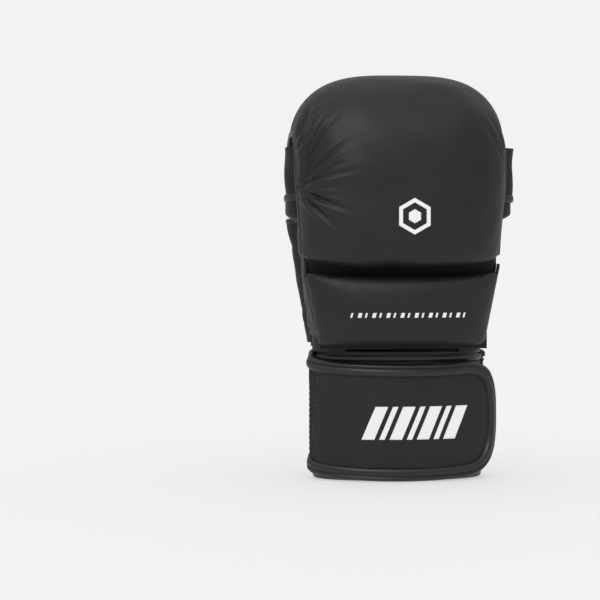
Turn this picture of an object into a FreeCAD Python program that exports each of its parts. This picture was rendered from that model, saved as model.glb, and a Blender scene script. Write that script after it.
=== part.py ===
"""Right-hand sparring glove, standing on its cuff with the fingers up.

Frame, in millimetres: +Z runs from the wrist to the finger tips, -Y is the back of the hand,
+Y is the palm, -X is the thumb side and +X is the little-finger side. The origin is the
middle of the wrist opening, on the surface that the glove stands on.
"""
import FreeCAD, Part
import math
import os
import re
import Sketcher

# Driving sizes: alias, value in millimetres (degrees for an angle), what it is.
SIZES = (
    ("opening_half_width", 50.0, "wrist opening, half across the hand"),
    ("opening_half_depth", 23.0, "wrist opening, half from back to palm"),
    ("lining_wall", 1.2, "cloth lining"),
    ("cuff_wall", 3.3, "padded leather wall of the cuff"),
    ("cuff_height", 84.0, "cuff, from its foot to its top edge"),
    ("cuff_edge", 6.0, "bound edges of the cuff"),
    ("slit_low", -18.0, "palm slit of the cuff, thumb-side end"),
    ("slit_high", 5.0, "palm slit of the cuff, little-side end"),
    ("slit_top", 70.0, "palm slit of the cuff, its top"),
    ("patch_wall", 1.2, "each half of the hook-and-loop closure"),
    ("closure_gap", 0.3, "between the two halves of the closure"),
    ("patch_half_width", 40.0, "closure, half its width"),
    ("strap_wall", 3.0, "wrist strap"),
    ("strap_proud", 0.5, "how far the strap's bound edge stands out"),
    ("strap_shorter", 10.0, "how much shorter the wrist strap is than the cuff"),
    ("strap_foot", 7.5, "lower edge of the strap at the sides of the wrist"),
    ("strap_tilt", 8.0, "slope of the strap, higher on the palm side"),
    ("strap_edge", 7.0, "bound edge of the strap"),
    ("strap_end_start", 36.0, "where the flap's rounded end begins"),
    ("strap_end_reach", 26.0, "how far the rounded end runs"),
    ("split_gap", 0.2, "from the middle plane to each half of the strap"),
    ("hand_top", 178.0, "where the hand's outer form is measured at the top"),
    ("hand_half_width", 66.0, "hand's outer form there, half across"),
    ("hand_half_depth", 34.0, "hand's outer form there, half deep"),
    ("panel_wall", 2.0, "leather side and heel panels"),
    ("side_top", 164.0, "top of the side panels"),
    ("side_palm_edge", 8.4, "palm-side edge of the side panels"),
    ("side_back_edge", -24.0, "back edge of the side panels, below the groove"),
    ("side_flex_edge", -15.0, "back edge of the side panels, above the groove"),
    ("piping_radius", 1.5, "corded seams"),
    ("back_bottom", 86.0, "lower back pad, its lower end"),
    ("back_top", 136.0, "lower back pad, its upper end"),
    ("back_half_low", 56.0, "lower back pad, half width at its lower end"),
    ("back_half_high", 62.5, "lower back pad, half width at its upper end"),
    ("back_inner", -26.0, "lower back pad, face against the hand"),
    ("back_outer", -50.0, "lower back pad, outer face"),
    ("cover_wall", 1.5, "leather covers of the pads"),
    ("edge_round", 8.0, "rounding of the pads' outer edges"),
    ("groove_top", 142.0, "knuckle pad, its lower end"),
    ("pad_half_low", 64.5, "knuckle pad, half width at its lower end"),
    ("pad_half_width", 69.0, "knuckle pad, widest half width"),
    ("pad_shoulder", 214.0, "knuckle pad, height of its widest line"),
    ("pad_corner", 40.0, "knuckle pad, radius of its upper corners"),
    ("pad_crown_half", 37.0, "knuckle pad, half width of its crown"),
    ("pad_height", 260.0, "top of the knuckle pad"),
    ("curl_middle", -6.0, "middle of the pad's outer curl"),
    ("curl_radius", 50.0, "radius of the pad's outer curl"),
    ("pocket_middle", 2.0, "middle of the finger pocket"),
    ("pocket_radius", 24.0, "radius of the finger pocket"),
    ("pocket_level", 212.0, "height of the pocket's curl"),
    ("hood_bottom", 184.0, "lower end of the pad that covers the finger tips"),
    ("facing_height", 4.0, "facing strip under the hood"),
    ("shock_layer", 10.0, "outer foam layer of the knuckle pad"),
    ("loop_pitch", 37.2, "finger sleeves, spacing"),
    ("loop_gap", 0.4, "between two finger sleeves"),
    ("loop_half_depth", 14.0, "finger sleeve, half deep"),
    ("loop_wall", 1.6, "finger sleeve"),
    ("loop_edge_wall", 2.4, "bound mouth of a finger sleeve"),
    ("loop_bottom", 178.0, "finger sleeves, lower end"),
    ("loop_top", 212.0, "finger sleeves, upper end"),
    ("loop_edge", 5.0, "bound mouth of a finger sleeve, height"),
    ("palm_bar_low", -20.0, "palm bar, thumb-side end"),
    ("palm_bar_high", 62.0, "palm bar, little-side end"),
    ("palm_bar_wall", 2.0, "palm bar"),
    ("palm_bar_top", 204.0, "palm bar, upper end"),
    ("palm_band_top", 180.0, "rolled palm band, upper side"),
    ("palm_band_height", 7.0, "rolled palm band"),
    ("palm_band_wall", 5.0, "rolled palm band, thickness"),
    ("thumb_bottom", 88.0, "thumb sleeve, lower end"),
    ("thumb_top", 165.0, "thumb sleeve, upper end"),
    ("thumb_low_middle", -27.0, "thumb sleeve's middle at its lower end"),
    ("thumb_high_middle", -46.5, "thumb sleeve's middle at its upper end"),
    ("thumb_low_half", 29.0, "thumb sleeve, half across at its lower end"),
    ("thumb_high_half", 23.0, "thumb sleeve, half across at its upper end"),
    ("thumb_out", 27.0, "thumb sleeve's middle, from the middle plane"),
    ("thumb_half_depth", 13.0, "thumb sleeve, half deep"),
    ("thumb_wall", 1.6, "leather wall of the thumb sleeve"),
    ("thumb_lining_wall", 0.8, "lining of the thumb sleeve"),
    ("thumb_edge", 3.0, "bound mouth of the thumb sleeve"),
    ("thumb_pad_middle", -40.0, "thumb pad's middle, across"),
    ("thumb_pad_level", 127.0, "thumb pad's middle, height"),
    ("thumb_pad_half_width", 18.5, "thumb pad, half across"),
    ("thumb_pad_half_height", 37.0, "thumb pad, half its height"),
    ("thumb_pad_rise", 5.5, "how far the thumb pad stands above its sleeve"),
    ("thumb_pad_lean", 10.0, "lean of the thumb pad to the thumb side"),
    ("thumb_pad_wall", 1.2, "leather cover of the thumb pad"),
    ("heel_low", 12.0, "heel panel, thumb-side end"),
    ("heel_bottom", 88.0, "heel panel, lower edge"),
    ("heel_start", 91.0, "heel panel's free edge at its thumb-side end"),
    ("heel_knee", 26.0, "heel panel's free edge, where it turns"),
    ("heel_knee_level", 105.0, "heel panel's free edge there"),
    ("heel_top", 114.0, "heel panel's free edge at the little side"),
    ("heel_edge", 4.0, "rolled edge of the heel panel"),
    ("reach", 90.0, "half length of the tools that cut a shape to its outline"),
)
ALIASES = {alias for alias, _, _ in SIZES}

doc = FreeCAD.newDocument("sparring_glove")
sheet = doc.addObject("Spreadsheet::Sheet", "sizes")
for row, (alias, amount, note) in enumerate(SIZES, start=1):
    sheet.set(f"A{row}", note)
    sheet.set(f"B{row}", str(amount))
    sheet.setAlias(f"B{row}", alias)
doc.recompute()

nodes = []


def formula(text):
    """Give each size in a formula the name of the sheet that holds it."""
    return re.sub(r"[a-z_]+", lambda m: ("sizes." if m.group() in ALIASES else "") + m.group(), text)


def number(text):
    """Value of a formula at the present sizes."""
    return float(sheet.evalExpression(formula(text)))


def bind(piece, **formulas):
    """Tie properties of a document object to formulas; a double underscore stands for a dot."""
    for name, text in formulas.items():
        piece.setExpression(name.replace("__", "."), formula(text))
    return piece


def make(kind, label):
    """Add a document object and give it its label."""
    piece = doc.addObject(kind, label)
    piece.Label = label
    return piece


def node(piece):
    """List an object as one of the glove's separate pieces."""
    nodes.append(piece)
    return piece


def place(piece, across="0", deep="0", up="0"):
    """Tie an object's place to formulas."""
    return bind(piece, Placement__Base__x=across, Placement__Base__y=deep, Placement__Base__z=up)


def box(label, across, deep, up):
    """Box between a low and a high formula along X, Y and Z."""
    piece = make("Part::Box", label)
    bind(piece, Length=f"({across[1]}) - ({across[0]})")
    bind(piece, Width=f"({deep[1]}) - ({deep[0]})")
    bind(piece, Height=f"({up[1]}) - ({up[0]})")
    return place(piece, across[0], deep[0], up[0])


def oval(label, half_width, half_depth, across="0", deep="0", up="0"):
    """Level ellipse, its long axis along X."""
    piece = make("Part::Ellipse", label)
    bind(piece, MajorRadius=half_width, MinorRadius=half_depth)
    return place(piece, across, deep, up)


def prism(label, outline, low, high):
    """Upright prism on a level outline, from one height to another."""
    piece = make("Part::Extrusion", label)
    piece.Base = outline
    piece.DirMode = "Custom"
    piece.Dir = FreeCAD.Vector(0, 0, 1)
    piece.Solid = True
    bind(piece, LengthFwd=f"({high}) - ({low})")
    return place(piece, up=low)


def loft(label, sections):
    """Straight-sided solid between level outlines."""
    piece = make("Part::Loft", label)
    piece.Sections = sections
    piece.Solid = True
    piece.Ruled = True
    return piece


def cut(label, base, tool):
    """What is left of base outside tool."""
    piece = make("Part::Cut", label)
    piece.Base = base
    piece.Tool = tool
    return piece


def common(label, *shapes):
    """What several shapes share."""
    piece = make("Part::MultiCommon", label)
    piece.Shapes = list(shapes)
    return piece


def arc_between(start, end, radius, turn):
    """Arc of a circle from start to end; turn is 1 for anticlockwise, -1 for clockwise."""
    chord = FreeCAD.Vector(end[0] - start[0], end[1] - start[1], 0)
    side = FreeCAD.Vector(-chord.y, chord.x, 0).normalize() * turn
    height = math.sqrt(max(radius ** 2 - (chord.Length / 2) ** 2, 0.0))
    middle = FreeCAD.Vector((start[0] + end[0]) / 2, (start[1] + end[1]) / 2, 0) + side * height
    first, last = (start, end) if turn > 0 else (end, start)
    angles = [math.atan2(point[1] - middle.y, point[0] - middle.x) for point in (first, last)]
    if angles[1] < angles[0]:
        angles[1] += 2 * math.pi
    circle = Part.Circle(middle, FreeCAD.Vector(0, 0, 1), radius)
    return Part.ArcOfCircle(circle, angles[0], angles[1])


def slab(label, plane, corners, half_length):
    """Body padded both ways from a sketch on one of its origin planes.

    A corner is (u, v) where a straight side follows, or (u, v, radius, turn) where an arc does.
    """
    body = make("PartDesign::Body", label)
    sketch = body.newObject("Sketcher::SketchObject", label + "_outline")
    origin_plane = [item for item in body.Origin.OriginFeatures if item.Role == plane][0]
    sketch.AttachmentSupport = [(origin_plane, "")]
    sketch.MapMode = "FlatFace"
    points = [(number(corner[0]), number(corner[1])) for corner in corners]
    ends = []
    for index, corner in enumerate(corners):
        start, end = points[index], points[(index + 1) % len(points)]
        if len(corner) == 2:
            side = Part.LineSegment(FreeCAD.Vector(*start, 0), FreeCAD.Vector(*end, 0))
            ends.append((1, 2))
        else:
            side = arc_between(start, end, number(corner[2]), corner[3])
            ends.append((1, 2) if corner[3] > 0 else (2, 1))
        sketch.addGeometry(side, False)
    for index in range(len(corners)):
        after = (index + 1) % len(corners)
        sketch.addConstraint(Sketcher.Constraint("Coincident", index, ends[index][1], after, ends[after][0]))
    for index, corner in enumerate(corners):
        for kind, text, amount in zip(("DistanceX", "DistanceY"), corner, points[index]):
            held = sketch.addConstraint(Sketcher.Constraint(kind, -1, 1, index, ends[index][0], amount))
            sketch.setExpression(f"Constraints[{held}]", formula(text))
        if len(corner) > 2:
            held = sketch.addConstraint(Sketcher.Constraint("Radius", index, number(corner[2])))
            sketch.setExpression(f"Constraints[{held}]", formula(corner[2]))
    pad = body.newObject("PartDesign::Pad", label + "_pad")
    pad.Profile = sketch
    pad.Midplane = True
    bind(pad, Length=f"2 * ({half_length})")
    sketch.Visibility = False
    return body


def wall(label, inner, outer):
    """Wall between two offsets from the wrist opening, over more than the cuff's height."""
    rims = []
    for name, offset in (("inside", inner), ("outside", outer)):
        rim = oval(f"{label}_{name}_rim", f"opening_half_width + {offset}", f"opening_half_depth + {offset}")
        rims.append(prism(f"{label}_{name}", rim, "0", "cuff_height + strap_tilt * 2"))
    return cut(label, rims[1], rims[0])


def beyond(label, back, low, high):
    """Everything on the palm side, or on the back side, of the strap's middle plane."""
    deep = ("-reach", "-split_gap") if back else ("split_gap", "reach")
    return box(label, ("-reach", "reach"), deep, (low, high))


def make_cuff():
    """Wrist cuff: lining, padded wall with a slit in the palm, bound top and foot."""
    slit = box("slit", ("slit_low", "slit_high"), ("0", "reach"), ("-1", "slit_top"))
    shell_in = "lining_wall"
    shell_out = "(lining_wall + cuff_wall)"
    lining_band = box("lining_band", ("-reach", "reach"), ("-reach", "reach"),
                      ("cuff_edge", "cuff_height - cuff_edge"))
    lining = common("cuff_lining_ring", wall("lining_wall_ring", "0", shell_in), lining_band)
    node(cut("cuff_lining", lining, slit))
    shell = common("cuff_shell_ring", wall("shell_wall_ring", shell_in, shell_out), lining_band)
    node(cut("cuff_shell", shell, slit))
    whole = wall("cuff_whole_ring", "0", shell_out)
    foot_band = box("foot_band", ("-reach", "reach"), ("-reach", "reach"), ("0", "cuff_edge"))
    node(cut("cuff_bottom_binding", common("cuff_foot_ring", whole, foot_band), slit))
    top_band = box("top_band", ("-reach", "reach"), ("-reach", "reach"),
                   ("cuff_height - cuff_edge", "cuff_height"))
    node(common("cuff_top_binding", whole, top_band))
    return shell_out


def strap_outline(label, inset, rounded):
    """Slab in the strap's outline, as it is seen from the back of the hand, and then tilted."""
    low = inset
    high = f"cuff_height - strap_shorter - {inset}"
    if rounded:
        reach = f"(strap_end_reach - {inset})"
        half = f"((cuff_height - strap_shorter) / 2 - {inset})"
        radius = f"({half} ^ 2 + {reach} ^ 2) / (2 * {reach})"
        corners = [("-reach", low), ("strap_end_start", low, radius, 1),
                   ("strap_end_start", high), ("-reach", high)]
    else:
        corners = [("-reach", low), ("reach", low), ("reach", high), ("-reach", high)]
    outline = slab(label, "XZ_Plane", corners, "reach")
    outline.Placement.Rotation = FreeCAD.Rotation(FreeCAD.Vector(1, 0, 0), 0)
    bind(outline, Placement__Rotation__Angle="strap_tilt")
    return place(outline, up="strap_foot")


def make_strap(shell_out):
    """Wrist strap: the palm half sewn to the cuff, the flap over the back, and the closure."""
    patch_out = f"({shell_out} + patch_wall)"
    hook_in = f"({patch_out} + closure_gap)"
    flap_in = f"({hook_in} + patch_wall)"
    flap_out = f"({flap_in} + strap_wall)"
    palm_out = f"({shell_out} + strap_wall)"
    front = beyond("strap_back_side", True, "0", "cuff_height + reach")
    rear = beyond("strap_palm_side", False, "0", "cuff_height + reach")

    patch_window = box("patch_window", ("-patch_half_width", "patch_half_width"), ("-reach", "0"),
                       ("strap_foot + strap_edge",
                        "strap_foot + cuff_height - strap_shorter - 2 * strap_edge"))
    node(common("wrist_loop_patch", wall("loop_patch_ring", shell_out, patch_out), patch_window))
    node(common("hook_patch", wall("hook_patch_ring", hook_in, flap_in), patch_window))

    whole = strap_outline("flap_outline", "0", True)
    inner = strap_outline("flap_inner_outline", "strap_edge", True)
    flap_ring = wall("flap_ring", flap_in, flap_out)
    node(common("strap_flap", flap_ring, front, inner))
    edge_ring = wall("flap_edge_ring", flap_in, f"({flap_out} + strap_proud)")
    flap_edges = common("flap_with_edges", edge_ring, front, whole)
    node(cut("strap_flap_binding", flap_edges, inner))

    palm_whole = strap_outline("palm_strap_outline", "0", False)
    palm_inner = strap_outline("palm_strap_inner_outline", "strap_edge", False)
    palm_ring = wall("palm_strap_ring", shell_out, palm_out)
    node(common("strap_palm_panel", palm_ring, rear, palm_inner))
    palm_edge_ring = wall("palm_strap_edge_ring", shell_out, f"({palm_out} + strap_proud)")
    palm_edges = common("palm_strap_with_edges", palm_edge_ring, rear, palm_whole)
    node(cut("strap_palm_binding", palm_edges, palm_inner))


def hand_ring(label, wall_size, extra="0"):
    """Wall of the hand's outer form, which widens from the cuff to the knuckles."""
    solids = []
    for name, inset in (("outside", f"(0 - {extra})"), ("inside", wall_size)):
        low = oval(f"{label}_{name}_low", f"opening_half_width + lining_wall + cuff_wall - {inset}",
                   f"opening_half_depth + lining_wall + cuff_wall - {inset}", up="cuff_height")
        high = oval(f"{label}_{name}_high", f"hand_half_width - {inset}",
                    f"hand_half_depth - {inset}", up="hand_top")
        solids.append(loft(f"{label}_{name}", [low, high]))
    return cut(label, solids[0], solids[1])


def make_side_panels(ring):
    """Gussets along the thumb side and the little side, stepped back above the groove."""
    profile = [("side_back_edge", "cuff_height"), ("side_palm_edge", "cuff_height"),
               ("side_palm_edge", "side_top"), ("side_flex_edge", "side_top"),
               ("side_flex_edge", "back_top"), ("side_back_edge", "back_top")]
    gusset = slab("side_gusset", "YZ_Plane", profile, "reach")
    thumb_half = box("thumb_half", ("-reach", "0"), ("-reach", "reach"), ("0", "pad_height"))
    little_half = box("little_half", ("0", "reach"), ("-reach", "reach"), ("0", "pad_height"))
    node(common("thumb_side_panel", ring, gusset, thumb_half))
    node(common("little_side_panel", ring, gusset, little_half))


def make_piping():
    """Corded seam up the outside of the thumb-side gusset."""
    cuff_half = "(opening_half_width + lining_wall + cuff_wall)"
    share = "((side_top - cuff_height) / (hand_top - cuff_height))"
    side_half = f"({cuff_half} + (hand_half_width - {cuff_half}) * {share})"
    low = oval("piping_low", "piping_radius", "piping_radius",
               f"0 - {cuff_half} - piping_radius", "0", "cuff_height")
    high = oval("piping_high", "piping_radius", "piping_radius",
                f"0 - {side_half} - piping_radius", "0", "side_top")
    node(loft("thumb_side_piping", [low, high]))


def make_heel(ring):
    """Panel over the heel of the palm, with its rolled free edge."""
    def edge_points(rise):
        return [("heel_low", f"heel_start + {rise}"), ("heel_knee", f"heel_knee_level + {rise}"),
                ("reach", f"heel_top + {rise}")]
    foot = [("reach", "heel_bottom"), ("heel_low", "heel_bottom")]
    panel = slab("heel_outline", "XZ_Plane", edge_points("0") + foot, "reach")
    strip = slab("heel_edge_outline", "XZ_Plane", edge_points("heel_edge") + edge_points("0")[::-1], "reach")
    palm = box("heel_side", ("0", "reach"), ("side_palm_edge", "reach"), ("0", "pad_height"))
    node(common("heel_panel", ring, panel, palm))
    node(common("heel_panel_binding", hand_ring("rolled_ring", "panel_wall", "strap_proud"), strip, palm))


def back_pad_solid(label, inset):
    """Lower back pad, every face moved in by the inset."""
    low, high = f"back_bottom + {inset}", f"back_top - {inset}"
    outer = f"back_outer + {inset}"
    rounding = f"(edge_round - {inset})"
    profile = [(f"{outer} + {rounding}", low, rounding, -1), (outer, f"{low} + {rounding}"),
               (outer, f"{high} - {rounding}", rounding, -1), (f"{outer} + {rounding}", high),
               (f"back_inner - {inset}", high), (f"back_inner - {inset}", low)]
    face = [(f"0 - back_half_low + {inset}", low), (f"back_half_low - {inset}", low),
            (f"back_half_high - {inset}", high), (f"0 - back_half_high + {inset}", high)]
    side_view = slab(f"{label}_side_view", "YZ_Plane", profile, "reach")
    back_view = slab(f"{label}_back_view", "XZ_Plane", face, "reach")
    return common(label, side_view, back_view)


def make_back_pad():
    """Lower back pad: cover, foam and the lining between it and the hand."""
    foam = node(back_pad_solid("back_pad_foam", "cover_wall"))
    node(cut("back_pad_cover", back_pad_solid("back_pad_whole", "0"), foam))
    half = "(back_half_low - cover_wall)"
    node(box("back_lining", (f"0 - {half}", half), ("back_inner", "back_inner + lining_wall"),
             ("back_bottom", "back_top")))


def curl(label, outer, inner, bottom_inset="0", rounding=None):
    """Curled layer between an outer and an inner curl, open downwards like a hook.

    Each curl is (middle, radius, level). The rounding is that of the lower outer edge.
    """
    bottom = f"groove_top + {bottom_inset}"
    rim = f"hood_bottom + {bottom_inset}"
    middle, radius, level = outer
    corners = [(f"{middle} - {radius}", bottom)]
    if rounding:
        corners = [(f"{middle} - {radius} + {rounding}", bottom, rounding, -1),
                   (f"{middle} - {radius}", f"{bottom} + {rounding}")]
    corners += [(f"{middle} - {radius}", level, radius, -1),
                (middle, f"{level} + {radius}", radius, -1),
                (f"{middle} + {radius}", level), (f"{middle} + {radius}", rim)]
    middle, radius, level = inner
    corners += [(f"{middle} + {radius}", rim), (f"{middle} + {radius}", level, radius, 1),
                (middle, f"{level} + {radius}", radius, 1),
                (f"{middle} - {radius}", level), (f"{middle} - {radius}", bottom)]
    return slab(label, "YZ_Plane", corners, "reach")


def crown(label, inset):
    """Slab in the knuckle pad's outline as it is seen from the back of the hand."""
    half = f"(pad_half_width - {inset})"
    corner = f"(pad_corner - {inset})"
    start = f"(pad_crown_half - {half} + {corner})"
    shoulder = f"(pad_shoulder + sqrt({corner} ^ 2 - {start} ^ 2))"
    rise = f"(pad_height - {inset} - {shoulder})"
    radius = f"((pad_crown_half ^ 2 + {rise} ^ 2) / (2 * {rise}))"
    low = f"(pad_half_low - {inset})"
    corners = [(f"0 - {low}", "groove_top"), (f"0 - {half}", "pad_shoulder", corner, -1),
               ("0 - pad_crown_half", shoulder, radius, -1), ("pad_crown_half", shoulder, corner, -1),
               (half, "pad_shoulder"), (low, "groove_top")]
    return slab(label, "XZ_Plane", corners, "reach")


def make_knuckle_pad():
    """Big curled pad: cover, two foam layers, lining of the finger pocket and hood facing."""
    top_level = "(pad_height - curl_radius)"
    outside = ("curl_middle", "curl_radius", top_level)
    under_cover = ("curl_middle", "(curl_radius - cover_wall)", top_level)
    under_shock = ("curl_middle", "(curl_radius - cover_wall - shock_layer)", top_level)
    behind_cover = ("pocket_middle", "(pocket_radius + cover_wall)", "pocket_level")
    pocket = ("pocket_middle", "pocket_radius", "pocket_level")
    in_lining = ("pocket_middle", "(pocket_radius - lining_wall)", "pocket_level")
    whole_view = crown("crown_whole", "0")
    foam_view = crown("crown_foam", "cover_wall")

    whole_side = curl("curl_whole", outside, pocket, rounding="edge_round")
    whole = common("pad_whole", whole_side, whole_view)
    round_in = "(edge_round - cover_wall)"
    filling_side = curl("curl_filling", under_cover, behind_cover, "cover_wall", round_in)
    filling = common("pad_filling", filling_side, foam_view)
    shock_side = curl("curl_shock", under_cover, under_shock, "cover_wall", round_in)
    shock = node(common("knuckle_pad_foam", shock_side, foam_view))
    node(cut("knuckle_pad_core", filling, shock))
    node(cut("knuckle_pad_cover", whole, filling))
    node(common("knuckle_lining", curl("curl_lining", pocket, in_lining), foam_view))
    node(box("hood_facing", ("0 - pad_half_low", "pad_half_low"),
             ("pocket_middle + pocket_radius", "curl_middle + curl_radius"),
             ("hood_bottom - facing_height", "hood_bottom")))


def sleeve(label, across, wall_size, low, high):
    """Oval sleeve round one finger, against the lining of the pocket."""
    back = "(pocket_middle - pocket_radius + lining_wall)"
    walls = []
    for name, inset in (("outside", "0"), ("inside", wall_size)):
        rim = oval(f"{label}_{name}_rim", f"(loop_pitch - loop_gap) / 2 - {inset}",
                   f"loop_half_depth - {inset}", across, f"{back} + loop_half_depth")
        walls.append(prism(f"{label}_{name}", rim, low, high))
    return cut(label, walls[0], walls[1])


def make_finger_sleeves():
    """Four finger sleeves with bound mouths, the bar across them and the rolled palm band."""
    for place_number, finger in enumerate(("index", "middle", "ring", "little")):
        across = f"{place_number - 1.5} * loop_pitch"
        mouth_top = "loop_bottom + loop_edge"
        node(sleeve(f"{finger}_loop", across, "loop_wall", mouth_top, "loop_top"))
        node(sleeve(f"{finger}_loop_binding", across, "loop_edge_wall", "loop_bottom", mouth_top))
    front = "(pocket_middle - pocket_radius + lining_wall + 2 * loop_half_depth)"
    node(box("palm_bar_panel", ("palm_bar_low", "palm_bar_high"),
             (front, f"{front} + palm_bar_wall"), ("palm_band_top", "palm_bar_top")))
    low, rolled = "palm_band_top - palm_band_height", f"{front} + palm_band_wall"
    roll = "palm_band_wall / 2"
    corners = [(front, low), (f"{rolled} - {roll}", low, roll, 1), (rolled, f"{low} + {roll}"),
               (rolled, f"palm_band_top - {roll}", roll, 1), (f"{rolled} - {roll}", "palm_band_top"),
               (front, "palm_band_top")]
    band = slab("palm_band", "YZ_Plane", corners, "(palm_bar_high - palm_bar_low) / 2")
    node(place(band, across="(palm_bar_low + palm_bar_high) / 2"))


def thumb_form(label, inset):
    """Solid form of the thumb sleeve, moved in by the inset."""
    low = oval(f"{label}_low", f"thumb_low_half - {inset}", f"thumb_half_depth - {inset}",
               "thumb_low_middle", "thumb_out", "thumb_bottom")
    high = oval(f"{label}_high", f"thumb_high_half - {inset}", f"thumb_half_depth - {inset}",
                "thumb_high_middle", "thumb_out", "thumb_top")
    return loft(label, [low, high])


def thumb_pad_solid(label, inset, sleeve_form):
    """Raised oval pad on the thumb sleeve, leaning to the thumb side."""
    half = f"(thumb_pad_half_width - {inset})"
    straight = "(thumb_pad_half_height - thumb_pad_half_width)"
    end = f"({straight} + {half})"
    corners = [(f"0 - {half}", f"0 - {straight}"), (f"0 - {half}", straight, half, -1),
               ("0", end, half, -1), (half, straight), (half, f"0 - {straight}", half, -1),
               ("0", f"0 - {end}", half, -1)]
    outline = slab(f"{label}_outline", "XZ_Plane", corners, "reach")
    outline.Placement.Rotation = FreeCAD.Rotation(FreeCAD.Vector(0, -1, 0), 1)
    bind(outline, Placement__Rotation__Angle="thumb_pad_lean")
    place(outline, across="thumb_pad_middle", up="thumb_pad_level")
    face = f"thumb_out + thumb_half_depth + thumb_pad_rise - {inset}"
    depth = box(f"{label}_depth", ("-reach", "reach"), ("thumb_out", face),
                ("0", "pad_height"))
    return cut(label, common(f"{label}_block", outline, depth), sleeve_form)


def make_thumb():
    """Thumb sleeve: leather wall, lining, bound mouth, corded free edge and raised pad."""
    outside = thumb_form("thumb_outside", "0")
    middle = thumb_form("thumb_middle", "thumb_wall")
    inside = thumb_form("thumb_inside", "(thumb_wall + thumb_lining_wall)")
    node(cut("thumb_shell", outside, middle))
    node(cut("thumb_lining", middle, inside))
    rims = []
    for name, inset in (("outside", "0"), ("inside", "(thumb_wall + thumb_lining_wall)")):
        rim = oval(f"thumb_mouth_{name}_rim", f"thumb_high_half - {inset}", f"thumb_half_depth - {inset}",
                   "thumb_high_middle", "thumb_out")
        rims.append(prism(f"thumb_mouth_{name}", rim, "thumb_top", "thumb_top + thumb_edge"))
    node(cut("thumb_mouth_binding", rims[0], rims[1]))
    foam = node(thumb_pad_solid("thumb_pad_foam", "thumb_pad_wall", outside))
    node(cut("thumb_pad_cover", thumb_pad_solid("thumb_pad_whole", "0", outside), foam))
    cord = [oval(f"thenar_{name}", "piping_radius", "piping_radius", f"{middle_line} + piping_radius",
                 "thumb_out", level)
            for name, middle_line, level in (
                ("low", "thumb_low_middle + thumb_low_half", "thumb_bottom"),
                ("high", "thumb_high_middle + thumb_high_half", "thumb_top"))]
    node(loft("thenar_binding", cord))


def write_parts():
    """Check every object and every piece, then write each piece to its own file."""
    doc.recompute()
    for item in doc.Objects:
        if "Invalid" in item.State or "Error" in item.State:
            raise RuntimeError(f"{item.Label} did not build: {item.State}")
    os.makedirs("parts", exist_ok=True)
    for piece in nodes:
        shape = piece.Shape
        if shape.isNull() or not shape.isValid() or not shape.Solids:
            raise RuntimeError(f"{piece.Label} has no sound solid")
        shape.exportStep(f"parts/{piece.Label}.step")
        print(f"{piece.Label:22s} {len(shape.Solids)} solid(s) {shape.Volume / 1000:8.2f} cm3")


def main():
    """Build every piece, check it and write it."""
    shell_out = make_cuff()
    make_strap(shell_out)
    ring = hand_ring("hand_wall", "panel_wall")
    make_side_panels(ring)
    make_piping()
    make_heel(ring)
    make_back_pad()
    make_knuckle_pad()
    make_finger_sleeves()
    make_thumb()
    write_parts()


main()
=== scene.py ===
"""Looks of a right-hand sparring glove: leather pads, sleeves, cuff and wrist strap.

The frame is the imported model's: metres, +Z to the finger tips, -Y the back of the hand,
+Y the palm, -X the thumb side. Shapes are worked out in millimetres and turned to metres
where a mesh is made.
"""
import logging
import math
from dataclasses import dataclass, field
from enum import Enum
from typing import Callable, Optional, Sequence, Union

import bmesh
import bpy
import numpy as np
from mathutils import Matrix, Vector


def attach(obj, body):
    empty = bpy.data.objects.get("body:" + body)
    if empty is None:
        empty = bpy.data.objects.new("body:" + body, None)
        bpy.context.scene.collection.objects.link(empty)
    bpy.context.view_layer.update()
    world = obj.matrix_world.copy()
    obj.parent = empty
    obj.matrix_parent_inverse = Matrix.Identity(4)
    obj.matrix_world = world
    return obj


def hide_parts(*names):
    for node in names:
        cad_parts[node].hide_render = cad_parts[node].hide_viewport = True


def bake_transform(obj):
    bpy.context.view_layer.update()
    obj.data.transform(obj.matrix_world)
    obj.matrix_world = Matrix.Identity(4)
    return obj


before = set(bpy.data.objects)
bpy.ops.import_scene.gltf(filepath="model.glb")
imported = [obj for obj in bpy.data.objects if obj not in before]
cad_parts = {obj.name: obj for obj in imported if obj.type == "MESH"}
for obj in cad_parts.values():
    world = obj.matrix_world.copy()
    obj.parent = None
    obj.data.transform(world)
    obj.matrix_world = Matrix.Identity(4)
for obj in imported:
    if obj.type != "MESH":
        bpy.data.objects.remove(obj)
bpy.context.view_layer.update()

Array = np.ndarray
MM = 0.001
log = logging.getLogger("glove")


# ---------------------------------------------------------------- curves and surfaces

def resample(path: Array, count: int, closed: bool = False, columns: int = 0) -> Array:
    """Points evenly spaced by the length along a polyline.

    Args:
        path: Points, one per row; a closed path repeats its first point at its end.
        count: Number of points wanted.
        closed: Leaves out the repeated end point.
        columns: How many leading columns measure the length; 0 for all.

    Returns:
        Points, with as many columns as the path.
    """
    measured = path[:, :columns] if columns else path
    steps = np.linalg.norm(np.diff(measured, axis=0), axis=1)
    along = np.concatenate([[0.0], np.cumsum(steps)])
    wanted = np.linspace(0.0, along[-1], count, endpoint=not closed)
    return np.stack([np.interp(wanted, along, column) for column in path.T], axis=1)


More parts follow.
